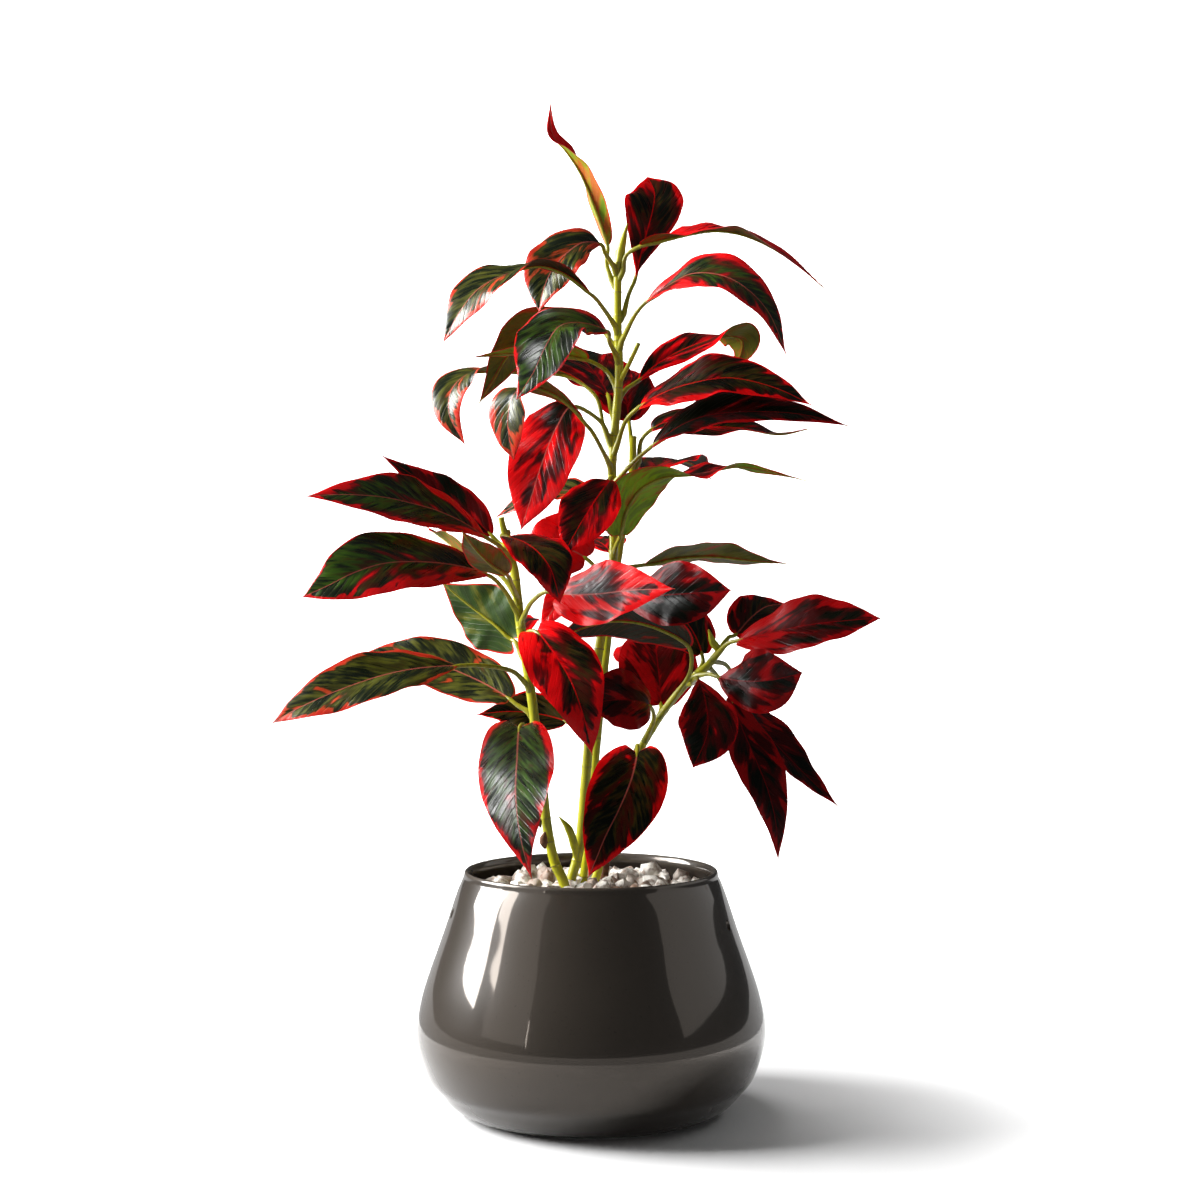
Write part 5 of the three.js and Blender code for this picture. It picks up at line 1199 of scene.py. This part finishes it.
def leaf_upper(name, leaf, paints, gloss):
    """Waxy upper skin of a leaf. What the eye sees: a near-black or deep green blade with crimson
    patches drawn out along the side veins, a wavy bright red margin, a thin paler midrib and gloss."""
    material, tree = new_material(name)
    dark, fresh, warm, bright, deep, vein_paint, rib_paint = [opaque(paint) for paint in paints]
    known = blade_marks(tree, leaf.vein_spacing, VEIN_HALF["upper"])
    known["t"] = add(tree, "ShaderNodeAttribute", attribute_name="leaf_share").outputs["Fac"]
    # Each half of the blade has its own patches
    add_rows(tree, known, [
        ("right", "GREATER_THAN", "w", 0.0),
        ("shift", "MULTIPLY", "right", SIDE_SHIFT),
        ("lot", "ADD", "seed", "shift"),
    ])
    known["patch"] = blotches(tree, known, *PATCH_SIZE, "lot", {"Detail": 2.0, "Distortion": 0.6})
    known["streak"] = blotches(tree, known, *STREAK_SIZE, "lot", {"Detail": 3.0})
    add_rows(tree, known, [
        # The flush spreads in patches, and inwards from the margin
        ("streak part", "MULTIPLY", "streak", FLUSH["streaks"]),
        ("mottled", "ADD", "patch", "streak part"),
        ("edge reach", "MULTIPLY", "margin", FLUSH["margins"]),
        ("of edge", "DIVIDE", "m", "edge reach"),
        ("edge left", "SUBTRACT", 1.0, "of edge"),
        ("near edge", "MAXIMUM", "edge left", 0.0),
        ("edge part", "MULTIPLY", "near edge", FLUSH["edge"]),
        ("flush part", "MULTIPLY", "flush", FLUSH["own"]),
        ("sum a", "ADD", "mottled", "edge part"),
        ("amount", "ADD", "sum a", "flush part"),
        ("both", "ADD", "patch", "streak"),
        # The midrib, narrowing to the tip
        ("rib taper", "MULTIPLY", "t", -PALE_RIB["loss"]),
        ("rib half", "ADD", "rib taper", PALE_RIB["half"]),
        ("rib off", "DIVIDE", "aside", "rib half"),
        # The margin, now wider and now narrower
        ("over", "SUBTRACT", "patch", MARGIN["level"]),
        ("swelling", "MAXIMUM", "over", 0.0),
        ("swollen", "MULTIPLY", "swelling", MARGIN["swelling"]),
        ("wavy", "ADD", "swollen", MARGIN["least"]),
        ("margin reach", "MULTIPLY", "wavy", "margin"),
        ("in margin", "SUBTRACT", "margin reach", "m"),
        # The side veins lie in grooves
        ("groove", "MULTIPLY", "vein", VEIN_GROOVE),
        ("ridges", "SUBTRACT", "streak", "groove"),
    ])
    colour = layered(tree, dark, [(known[source], *layer) for source, *layer in (
        ("both", 0.86, 1.16, 1.0, EASED, fresh),
        ("vein", 0.0, 1.0, 0.15, EVEN, vein_paint),
        ("amount", 0.64, 0.76, 0.85, EASED, warm),
        ("amount", 0.76, 0.83, 1.0, EASED, deep),
        ("amount", 0.81, 0.93, 1.0, EASED, bright),
        ("in margin", -0.3, 0.5, 0.95, EASED, bright),
        ("rib off", 1.0, 0.4, 0.7, EASED, rib_paint),
    )])
    rough = add(tree, "ShaderNodeMapRange", {"Value": known["streak"], "To Min": 0.18, "To Max": 0.42})
    bump = add(tree, "ShaderNodeBump", {
        "Height": known["ridges"], "Strength": 0.6, "Distance": 0.6 * MM})
    return surfaced(material, {
        "Base Color": colour, "Roughness": rough, "Normal": bump, "Specular IOR Level": gloss})


def leaf_underside(name, leaf, pale, flushed, strength, spread):
    """Matt underside of a leaf: green or brown, flushed warmer along the midrib, side veins and edges."""
    material, tree = new_material(name)
    known = blade_marks(tree, leaf.vein_spacing, VEIN_HALF["under"])
    known["patch"] = blotches(tree, known, *UNDER_SIZE, "seed", {"Detail": 5.0})
    add_rows(tree, known, [
        ("flush part", "MULTIPLY", "flush", UNDER_FLUSH),
        ("sum", "ADD", "patch", "flush part"),
        ("amount", "ADD", "sum", spread),
    ])
    warm = opaque(flushed)
    colour = layered(tree, opaque(pale, strength), [(known[source], *layer) for source, *layer in (
        ("patch", 0.5, 0.36, 0.6, EASED, opaque(pale, strength * 0.35)),
        ("amount", 0.58, 0.8, 0.85, EASED, warm),
        ("vein", 0.0, 1.0, 0.1, EVEN, warm),
        ("m", 1.8, 0.6, 0.9, EASED, opaque(leaf.red)),
        ("aside", 1.6, 0.7, 0.7, EASED, warm),
    )])
    bump = add(tree, "ShaderNodeBump", {
        "Height": known["vein"], "Strength": 0.6, "Distance": 0.4 * MM})
    return surfaced(material, {
        "Base Color": colour, "Roughness": 0.48, "Normal": bump, "Specular IOR Level": 0.3})


def fresh_bark(name, young, old, ring_colour):
    """Smooth skin of young canes and stalks: yellow green with darker streaks along it and a corky ring
    where each leaf stood, with a low sheen."""
    material, tree = new_material(name)
    place = add(tree, "ShaderNodeTexCoord").outputs["Object"]
    stretched = add(tree, VECTOR, {0: place, 1: (400.0, 400.0, 45.0)}, operation="MULTIPLY")
    streaks = add(tree, "ShaderNodeTexNoise", {"Vector": stretched, "Scale": 1.0, "Detail": 3.0})
    patches = add(tree, "ShaderNodeTexNoise", {"Vector": place, "Scale": 28.0, "Detail": 2.0})
    ring = add(tree, "ShaderNodeAttribute", attribute_name="stem_ring").outputs["Fac"]
    colour = layered(tree, opaque(young), (
        (streaks, 0.45, 0.75, 0.7, EVEN, opaque(old)),
        (patches, 0.5, 0.8, 0.6, EVEN, opaque(old)),
        (ring, 0.25, 0.8, 0.8, EVEN, opaque(ring_colour)),
    ))
    bump = add(tree, "ShaderNodeBump", {"Height": streaks, "Strength": 0.5, "Distance": 0.2 * MM})
    return surfaced(material, {"Base Color": colour, "Roughness": 0.36, "Normal": bump})


def dry_sheath(canes):
    """Papery dead sheath: brown, torn and dull."""
    material, tree = new_material("dry_sheath")
    place = add(tree, "ShaderNodeTexCoord").outputs["Object"]
    grain = add(tree, "ShaderNodeTexNoise", {"Vector": place, "Scale": 300.0, "Detail": 4.0})
    colour = layered(tree, opaque(canes.dry, 0.35), [(grain, 0.0, 1.0, 1.0, EVEN, opaque(canes.dry, 1.6))])
    bump = add(tree, "ShaderNodeBump", {"Height": grain, "Strength": 0.8, "Distance": 0.5 * MM})
    return surfaced(material, {"Base Color": colour, "Roughness": 0.85, "Normal": bump})


def pebble_stone(filling):
    """Broken pale marble and some brown quartz: chalky, grained and pitted, each stone its own tone."""
    material, tree = new_material("marble_pebbles")
    place = add(tree, "ShaderNodeTexCoord").outputs["Object"]
    tint = add(tree, "ShaderNodeAttribute", attribute_name="stone_tint").outputs["Fac"]
    grain = add(tree, "ShaderNodeTexNoise", {"Vector": place, "Scale": 190.0, "Detail": 6.0})
    pits = add(tree, "ShaderNodeTexNoise", {"Vector": place, "Scale": 620.0, "Detail": 3.0})
    colour = layered(tree, opaque(filling.pale), (
        (tint, 0.55, 0.95, 0.9, EVEN, opaque(filling.brown)),
        (grain, 0.48, 0.62, 0.8, EVEN, opaque(filling.brown, 0.8)),
    ))
    grained = add(tree, "ShaderNodeBump", {"Height": grain, "Strength": 0.7, "Distance": 1.2 * MM})
    bump = add(tree, "ShaderNodeBump", {
        "Height": pits, "Strength": 0.6, "Distance": 0.4 * MM, "Normal": grained})
    return surfaced(material, {"Base Color": colour, "Roughness": 0.7, "Normal": bump})


def potting_soil(filling):
    """Damp potting mix: dark brown crumbs with paler fibres."""
    material, tree = new_material("potting_soil")
    place = add(tree, "ShaderNodeTexCoord").outputs["Object"]
    crumbs = add(tree, "ShaderNodeTexNoise", {"Vector": place, "Scale": 260.0, "Detail": 6.0})
    colour = layered(tree, opaque(filling.soil), [(crumbs, 0.58, 0.7, 0.6, EVEN, opaque(filling.soil, 3))])
    bump = add(tree, "ShaderNodeBump", {"Height": crumbs, "Strength": 1.0, "Distance": 2 * MM})
    return surfaced(material, {"Base Color": colour, "Roughness": 0.95, "Normal": bump})


def studio_paper(stage):
    """Matt white studio paper, with the faint grain of its fibres."""
    material, tree = new_material("studio_paper")
    place = add(tree, "ShaderNodeTexCoord").outputs["Object"]
    grain = add(tree, "ShaderNodeTexNoise", {"Vector": place, "Scale": 900.0, "Detail": 2.0})
    bump = add(tree, "ShaderNodeBump", {"Height": grain, "Strength": 0.05, "Distance": 0.1 * MM})
    return surfaced(material, {
        "Base Color": opaque(stage.floor), "Roughness": 0.9, "Normal": bump, "Specular IOR Level": 0.1})


def pot_side(share):
    """A point of the pot's outer side and the way along it, as (radius, height) in millimetres."""
    last = len(POT_SIDE) - 1
    i = min(int(share * last), last - 1)
    rest = share * last - i
    a, b, c, d = [Vector(POT_SIDE[min(max(j, 0), last)]) for j in (i - 1, i, i + 1, i + 2)]
    start, end = (c - a) / 2, (d - b) / 2
    cube, square = 2 * b - 2 * c + start + end, 3 * (c - b) - 2 * start - end
    place = cube * rest ** 3 + square * rest ** 2 + start * rest + b
    heading = 3 * cube * rest ** 2 + 2 * square * rest + start
    return place, heading.normalized()


def pot_profile(wall, floor, lip_top):
    """The pot's section from the middle of its foot, up the outside, over the lip and down inside."""
    outer = [pot_side(i / OUTSIDE_STEPS)[0] for i in range(OUTSIDE_STEPS + 1)]
    inner = []
    for i in range(INSIDE_STEPS + 1):
        place, heading = pot_side(INSIDE_START + (1 - INSIDE_START) * i / INSIDE_STEPS)
        inner.append(place + wall * Vector((-heading.y, heading.x)))
    middle = (outer[-1] + inner[-1]) / 2
    across = (outer[-1] - inner[-1]) / 2
    rise = lip_top - middle.y
    lip = []
    for i in range(1, LIP_STEPS):
        turn = math.pi * i / LIP_STEPS
        lip.append(middle + across * math.cos(turn) + Vector((0, rise * math.sin(turn) ** LIP_FLATNESS)))
    foot = [Vector((0, 0)), Vector((FOOT_HOLLOW, 0))]
    return [*foot, *outer, *lip, *reversed(inner), Vector((INSIDE_FLOOR, floor)), Vector((0, floor))]


def revolve(name, profile, segments):
    """A closed body of a (radius, height) profile in millimetres turned about the upright axis."""
    work = bmesh.new()
    rings = []
    for radius, height in profile:
        count = segments if radius > 0 else 1
        rings.append([
            work.verts.new((
                radius * MM * math.cos(2 * math.pi * j / segments),
                radius * MM * math.sin(2 * math.pi * j / segments), height * MM))
            for j in range(count)
        ])
    for near, far in zip(rings, rings[1:]):
        for j in range(segments):
            k = (j + 1) % segments
            corners = [near[j % len(near)], near[k % len(near)], far[k % len(far)], far[j % len(far)]]
            kept = [v for i, v in enumerate(corners) if v is not corners[i - 1]]
            work.faces.new(kept)
    bmesh.ops.recalc_face_normals(work, faces=work.faces)
    for face in work.faces:
        face.smooth = True
    mesh = bpy.data.meshes.new(name)
    work.to_mesh(mesh)
    work.free()
    return mesh


def finished(piece, replaces=()):
    """Rides a piece on the plant's body and the nodes that it stands for."""
    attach(piece, "root")
    if replaces:
        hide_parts(*replaces)
    return piece


class PLANT_OT_pot(bpy.types.Operator):
    """Turn the glazed pot with its rounded lip and the two small holes high on its sides"""

    bl_idname = "ti_plant.pot"
    bl_label = "Pot"

    def execute(self, context):
        pot = context.scene.plant_pot
        lip_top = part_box("pot")[1].z / MM
        mesh = revolve("pot_glazed", pot_profile(pot.wall / MM, pot.floor / MM, lip_top), POT_SEGMENTS)
        mesh.materials.append(glazed_ceramic(pot))
        thrown = placed("pot_thrown", mesh)
        drills = bmesh.new()
        outside = [pot_side(i / SIDE_SAMPLES)[0] for i in range(SIDE_SAMPLES + 1)]
        for azimuth, height in DIMPLES:
            radius = min(outside, key=lambda spot: abs(spot.y - height)).x + DIMPLE_OUT
            place = Vector((radius * math.cos(azimuth), radius * math.sin(azimuth), height)) * MM
            made = bmesh.ops.create_icosphere(drills, subdivisions=3, radius=pot.dimple)
            bmesh.ops.translate(drills, verts=made["verts"], vec=place)
        drill_mesh = bpy.data.meshes.new("pot_drills")
        drills.to_mesh(drill_mesh)
        drills.free()
        drill = placed("pot_drills", drill_mesh)
        cut = thrown.modifiers.new("holes", "BOOLEAN")
        cut.object, cut.operation, cut.solver = drill, "DIFFERENCE", "EXACT"
        graph = context.evaluated_depsgraph_get()
        drilled = bpy.data.meshes.new_from_object(thrown.evaluated_get(graph), depsgraph=graph)
        for spent in (thrown, drill):
            bpy.data.objects.remove(spent)
        drilled.set_sharp_from_angle(angle=math.radians(POT_EDGE_ANGLE))
        piece = placed("pot_glazed", drilled)
        finished(piece, ["pot"])
        return {"FINISHED"}


class PLANT_OT_filling(bpy.types.Operator):
    """Fill the pot with soil and strew the pebbles over it"""

    bl_idname = "ti_plant.filling"
    bl_label = "Soil and pebbles"

    def execute(self, context):
        filling = context.scene.plant_filling
        soil = frame["nodes"]["soil"]
        soil.data.materials.clear()
        soil.data.materials.append(potting_soil(filling))
        low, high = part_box("stones")
        line = bpy.data.meshes.new("bed")
        line.from_pydata([(0, 0, 0)], [], [])
        stones = grown("pebbles", line, pebble_tree(), {
            "Bed Radius": high.x - PEBBLE_INSET * MM, "Bed Height": low.z + BED_LIFT * MM,
            "Rise": BED_RISE * MM, "Pebble": filling.pebble, "Spacing": filling.spacing,
            "Roughness": PEBBLE_LUMPS * MM, "Seed": filling.seed, "Material": pebble_stone(filling),
        })
        finished(stones, ["stones"])
        return {"FINISHED"}


def girth_at(girths, share):
    """A value read between evenly spaced ones."""
    place = share * (len(girths) - 1)
    i = min(int(place), len(girths) - 2)
    return girths[i] + (girths[i + 1] - girths[i]) * (place - i)


class PLANT_OT_canes(bpy.types.Operator):
    """Grow the four canes with their node rings, the shoots, the cut stalks and the dead sheaths"""

    bl_idname = "ti_plant.canes"
    bl_label = "Canes"

    def execute(self, context):
        canes = context.scene.plant_canes
        tree = stem_tree()
        bark = fresh_bark("green_bark", canes.young, canes.old, canes.ring)
        dry = dry_sheath(canes)
        for name, ((foot, top), path) in CANES.items():
            line = stem_line(name, cane_path(name), CANE_ROWS * len(path), lambda t: (
                foot + (top - foot) * t) / foot)
            piece = grown("cane_bark_" + name, line, tree, {
                "Sides": CANE_SIDES, "Radius": foot * MM, "Node Spacing": canes.node_spacing,
                "Node Height": canes.node_height, "Ring Width": RING_WIDTH * MM, "Material": bark,
            })
            finished(piece, ["cane_" + name])
        for name, (radius, points, girths, dead) in SCRAPS.items():
            path = SmoothPath([seen(p) for p in points])
            line = stem_line(name, path, SCRAP_ROWS, lambda t: girth_at(girths, t))
            piece = grown(name, line, tree, {
                "Sides": SCRAP_SIDES, "Radius": radius * MM, "Material": dry if dead else bark,
                **RINGLESS,
            })
            finished(piece)
        return {"FINISHED"}


def leaf_line(name, leaf):
    """The line of a leaf from its cane to its tip, and the row where its blade begins."""
    point, along, radius = cane_at(leaf.cane, leaf.height)
    stalk, rib = [
        [seen((x, z, depth * LEAF_REACH)) for x, z, depth in way] for way in (leaf.stalk, leaf.rib)
    ]
    heading = (stalk[0] - point).normalized()
    away = (heading - along * heading.dot(along)).normalized()
    inset = STALK_RADIUS * math.sqrt(max(0, 1 - heading.dot(away) ** 2))
    start = point + away * (radius + inset + STALK_GAP)
    rooted = point + (start - point) * ROOTED - along * ROOT_DROP
    path = SmoothPath([start, *stalk, *rib])
    blade_start = (1 + len(stalk)) / (len(stalk) + len(rib))
    # The rooted point is doubled for the stalk's flat end
    stalk_rows = 2 + STALK_ROWS
    onward = [i / BLADE_ROWS for i in range(BLADE_ROWS + 1)]
    shares = [blade_start * i / STALK_ROWS for i in range(STALK_ROWS)]
    shares += [blade_start + (1 - blade_start) * i / BLADE_ROWS for i in range(BLADE_ROWS + 1)]
    points = [rooted, rooted, *[path.point(t) for t in shares]]
    tangents = [path.tangent(t) for t in (0, 0, *shares)]
    ups = [square_to(upper_side(leaf.faces, t), tangent)
           for t, tangent in zip([0] * stalk_rows + onward, tangents)]
    girths = [1 + SHEATH * (1 - i / stalk_rows) ** 3 for i in range(stalk_rows)]
    girths += [1 - RIB_NARROWS * t ** RIB_EASE for t in onward]
    sinks = [0.0] * stalk_rows
    sinks += [min(1, t / RIB_SINKS) * (STALK_RADIUS * girth + RIB_COVER) * MM
              for t, girth in zip(onward, girths[stalk_rows:])]
    for values in (points, ups, tangents, girths, sinks):
        values.append(values[-1])
    return line_mesh(name, points, ups, tangents, girths, sinks), stalk_rows


class PLANT_OT_leaves(bpy.types.Operator):
    """Grow every leaf with its stalk, folded, waved and coloured in its own way"""

    bl_idname = "ti_plant.leaves"
    bl_label = "Leaves"

    def execute(self, context):
        leaf = context.scene.plant_leaves
        canes = context.scene.plant_canes
        tree = leaf_tree(stem_tree())
        stalk = fresh_bark("leaf_stalk", canes.stalk, leaf.olive, canes.old)
        upper = {
            name: leaf_upper("leaf_upper_" + name, leaf, [getattr(leaf, paint) for paint in paints], gloss)
            for name, (*paints, gloss) in UPPER_LOOKS.items()
        }
        under = {
            name: leaf_underside(
                "leaf_under_" + name, leaf, getattr(leaf, pale), getattr(leaf, flushed), strength, spread)
            for name, (pale, flushed, strength, spread) in UNDER_LOOKS.items()
        }
        for i, (name, shape) in enumerate(LEAVES.items()):
            line, first = leaf_line(name, shape)
            piece = grown(name.replace("leaf", "foliage"), line, tree, {
                "First Blade Row": first, "Columns": BLADE_COLUMNS, "Width": shape.width * MM,
                "Fold": shape.fold, "Wave": leaf.wave, "Ruffle": leaf.ruffle,
                "Quilting": leaf.quilting, "Vein Spacing": leaf.vein_spacing,
                "Thickness": leaf.thickness, "Stalk Radius": STALK_RADIUS * MM,
                "Flush": float(shape.flush), "Flush Drift": float(shape.drift),
                "Margin": float(shape.margin), "Margin Lean": float(shape.lean),
                "Broadest": shape.broadest, "Lobes": float(shape.lobes), "Seed": SEED_STEP * (i + 1),
                "Upper Side": upper[shape.upper], "Underside": under[shape.under], "Stalk": stalk,
            })
            finished(piece, [name])
        return {"FINISHED"}


def turn_steps(turn, steps):
    """The angles of the steps of a turn, without its start."""
    return [turn * i / steps for i in range(1, steps + 1)]


def sheet(name, points, faces, material):
    """A sheet of paper that stands in the scene."""
    mesh = bpy.data.meshes.new(name)
    mesh.from_pydata(points, [], faces)
    mesh.materials.append(material)
    return placed(name, mesh)


def lay_paper(stage):
    """The floor that bends up into the backdrop, and the round of the same paper that the glaze mirrors."""
    material = studio_paper(stage)
    bend, radius = PAPER["bend"], PAPER["radius"]
    sweep = [(PAPER["front"], 0.0), (bend, 0.0)]
    sweep += [(bend + radius * math.sin(a), radius - radius * math.cos(a))
              for a in turn_steps(math.pi / 2, BEND_STEPS)]
    sweep.append((bend + radius, PAPER["top"]))
    points = [(x, y, z) for y, z in sweep for x in (-PAPER["half"], PAPER["half"])]
    faces = [(2 * i, 2 * i + 1, 2 * i + 3, 2 * i + 2) for i in range(len(sweep) - 1)]
    floor = sheet("studio_floor", points, faces, material)
    floor.data.polygons.foreach_set("use_smooth", [True] * len(faces))
    floor.visible_glossy = floor.visible_diffuse = False
    reach, height = PAPER_ROUND
    rim = [(reach * math.cos(a), reach * math.sin(a), height)
           for a in turn_steps(math.tau, PAPER_ROUND_SIDES)]
    paper = sheet("paper_round", rim, [tuple(range(PAPER_ROUND_SIDES))], material)
    paper.visible_camera = paper.visible_diffuse = paper.visible_shadow = False


def mirroring_pieces():
    """The collections of pieces that a panel may be mirrored by, by name."""
    linked = {name: bpy.data.collections.new(name)
              for name in ("glazed_pieces", "waxy_pieces", "front_pieces")}
    for piece in bpy.data.objects:
        depths = [corner[1] for corner in piece.bound_box]
        middle = (min(depths) + max(depths)) / 2
        for name, belongs in (
            ("front_pieces", piece.type == "MESH" and middle < FRONT_DEPTH * MM),
            ("glazed_pieces", piece.name.startswith("pot_")),
            ("waxy_pieces", piece.name in WAXY_LEAVES),
        ):
            if belongs:
                linked[name].objects.link(piece)
    return linked


def hang_lamps(stage):
    """The softboxes, and the panels that light nothing and only show in glaze or wax."""
    linked = mirroring_pieces()
    for name, setting, share, size, azimuth, elevation, distance, aim, mirrored_by in LAMPS:
        lamp = bpy.data.lights.new(name, "AREA")
        lamp.energy, lamp.shape = getattr(stage, setting) * share, "RECTANGLE"
        lamp.size, lamp.size_y = size
        box = placed(name, lamp)
        a, e = math.radians(azimuth), math.radians(elevation)
        way = Vector((math.sin(a) * math.cos(e), -math.cos(a) * math.cos(e), math.sin(e)))
        box.location = LAMP_CENTRE + way * distance
        box.rotation_euler = (aim or -way).to_track_quat("-Z", "Y").to_euler()
        box.visible_diffuse, box.visible_glossy = not mirrored_by, bool(mirrored_by)
        if aim is DOWN:
            lamp.spread = math.radians(DOWN_SPREAD)
        if mirrored_by:
            box.light_linking.receiver_collection = linked[mirrored_by]


def studio_room(stage):
    """The grey room around the plant: darker behind it, and brighter below the horizon."""
    world = bpy.data.worlds.new("studio_room")
    world.use_nodes = True
    tree = world.node_tree
    way = add(tree, "ShaderNodeSeparateXYZ", {
        0: add(tree, "ShaderNodeTexCoord").outputs["Generated"]})
    known = dict(height=way.outputs["Z"])
    known["walls"] = add(tree, "ShaderNodeMapRange", {
        "Value": way.outputs["Y"], "From Min": -0.4, "From Max": 0.7, "To Min": stage.room,
        "To Max": stage.room * 0.4})
    known["near ground"] = add(tree, "ShaderNodeMapRange", {
        "Value": way.outputs["Z"], "From Min": -0.6, "From Max": 0.0, "To Max": stage.ground})
    add_rows(tree, known, [
        ("below", "LESS_THAN", "height", 0.0),
        ("glow", "MULTIPLY", "near ground", "below"),
        ("strength", "ADD", "walls", "glow"),
    ])
    background = tree.nodes["Background"]
    tree.links.new(known["strength"].outputs[0], background.inputs["Strength"])
    background.inputs["Color"].default_value = (1, 1, 1, 1)
    return world


def aimed_camera():
    """The camera, at the point that the plant is looked at from."""
    eye = Vector((EYE["x"], -EYE["distance"], EYE["height"])) * MM
    target = Vector((EYE["x"], 0, LOOK_HEIGHT)) * MM
    camera = placed("camera", bpy.data.cameras.new("camera"))
    camera.location = eye
    camera.rotation_euler = (target - eye).to_track_quat("-Z", "Y").to_euler()
    camera.data.sensor_width = SENSOR_WIDTH
    camera.data.lens = SENSOR_WIDTH * (target - eye).length / (FRAME_WIDTH * MM)
    camera.data.clip_end = FAR_CLIP
    return camera


class PLANT_OT_stage(bpy.types.Operator):
    """Set up the white paper floor and backdrop, the softboxes and the camera"""

    bl_idname = "ti_plant.stage"
    bl_label = "Studio"

    def execute(self, context):
        stage = context.scene.plant_stage
        lay_paper(stage)
        hang_lamps(stage)
        context.scene.world = studio_room(stage)
        context.scene.view_settings.view_transform = "Standard"
        context.scene.camera = aimed_camera()
        return {"FINISHED"}


class PLANT_PT_panel(bpy.types.Panel):
    """The pieces of the plant, each with its sizes and colours"""

    bl_label = "Ti plant"
    bl_idname = "PLANT_PT_panel"
    bl_space_type = "VIEW_3D"
    bl_region_type = "UI"
    bl_category = "Ti plant"

    def draw(self, context):
        for operator, key in zip(OPERATORS, SETTINGS):
            box = self.layout.box()
            box.operator(operator.bl_idname)
            settings = getattr(context.scene, key)
            for name in settings.__annotations__:
                box.prop(settings, name)


OPERATORS = (PLANT_OT_pot, PLANT_OT_filling, PLANT_OT_canes, PLANT_OT_leaves, PLANT_OT_stage)


def register():
    for made in (*SETTINGS.values(), *OPERATORS, PLANT_PT_panel):
        bpy.utils.register_class(made)
    for key, settings in SETTINGS.items():
        setattr(bpy.types.Scene, key, bpy.props.PointerProperty(type=settings))


def unregister():
    for key in SETTINGS:
        delattr(bpy.types.Scene, key)
    for made in (PLANT_PT_panel, *reversed(OPERATORS), *SETTINGS.values()):
        bpy.utils.unregister_class(made)


def main():
    register()
    bpy.ops.ti_plant.pot()
    bpy.ops.ti_plant.filling()
    bpy.ops.ti_plant.canes()
    bpy.ops.ti_plant.leaves()
    bpy.ops.ti_plant.stage()


if __name__ == "__main__":
    main()
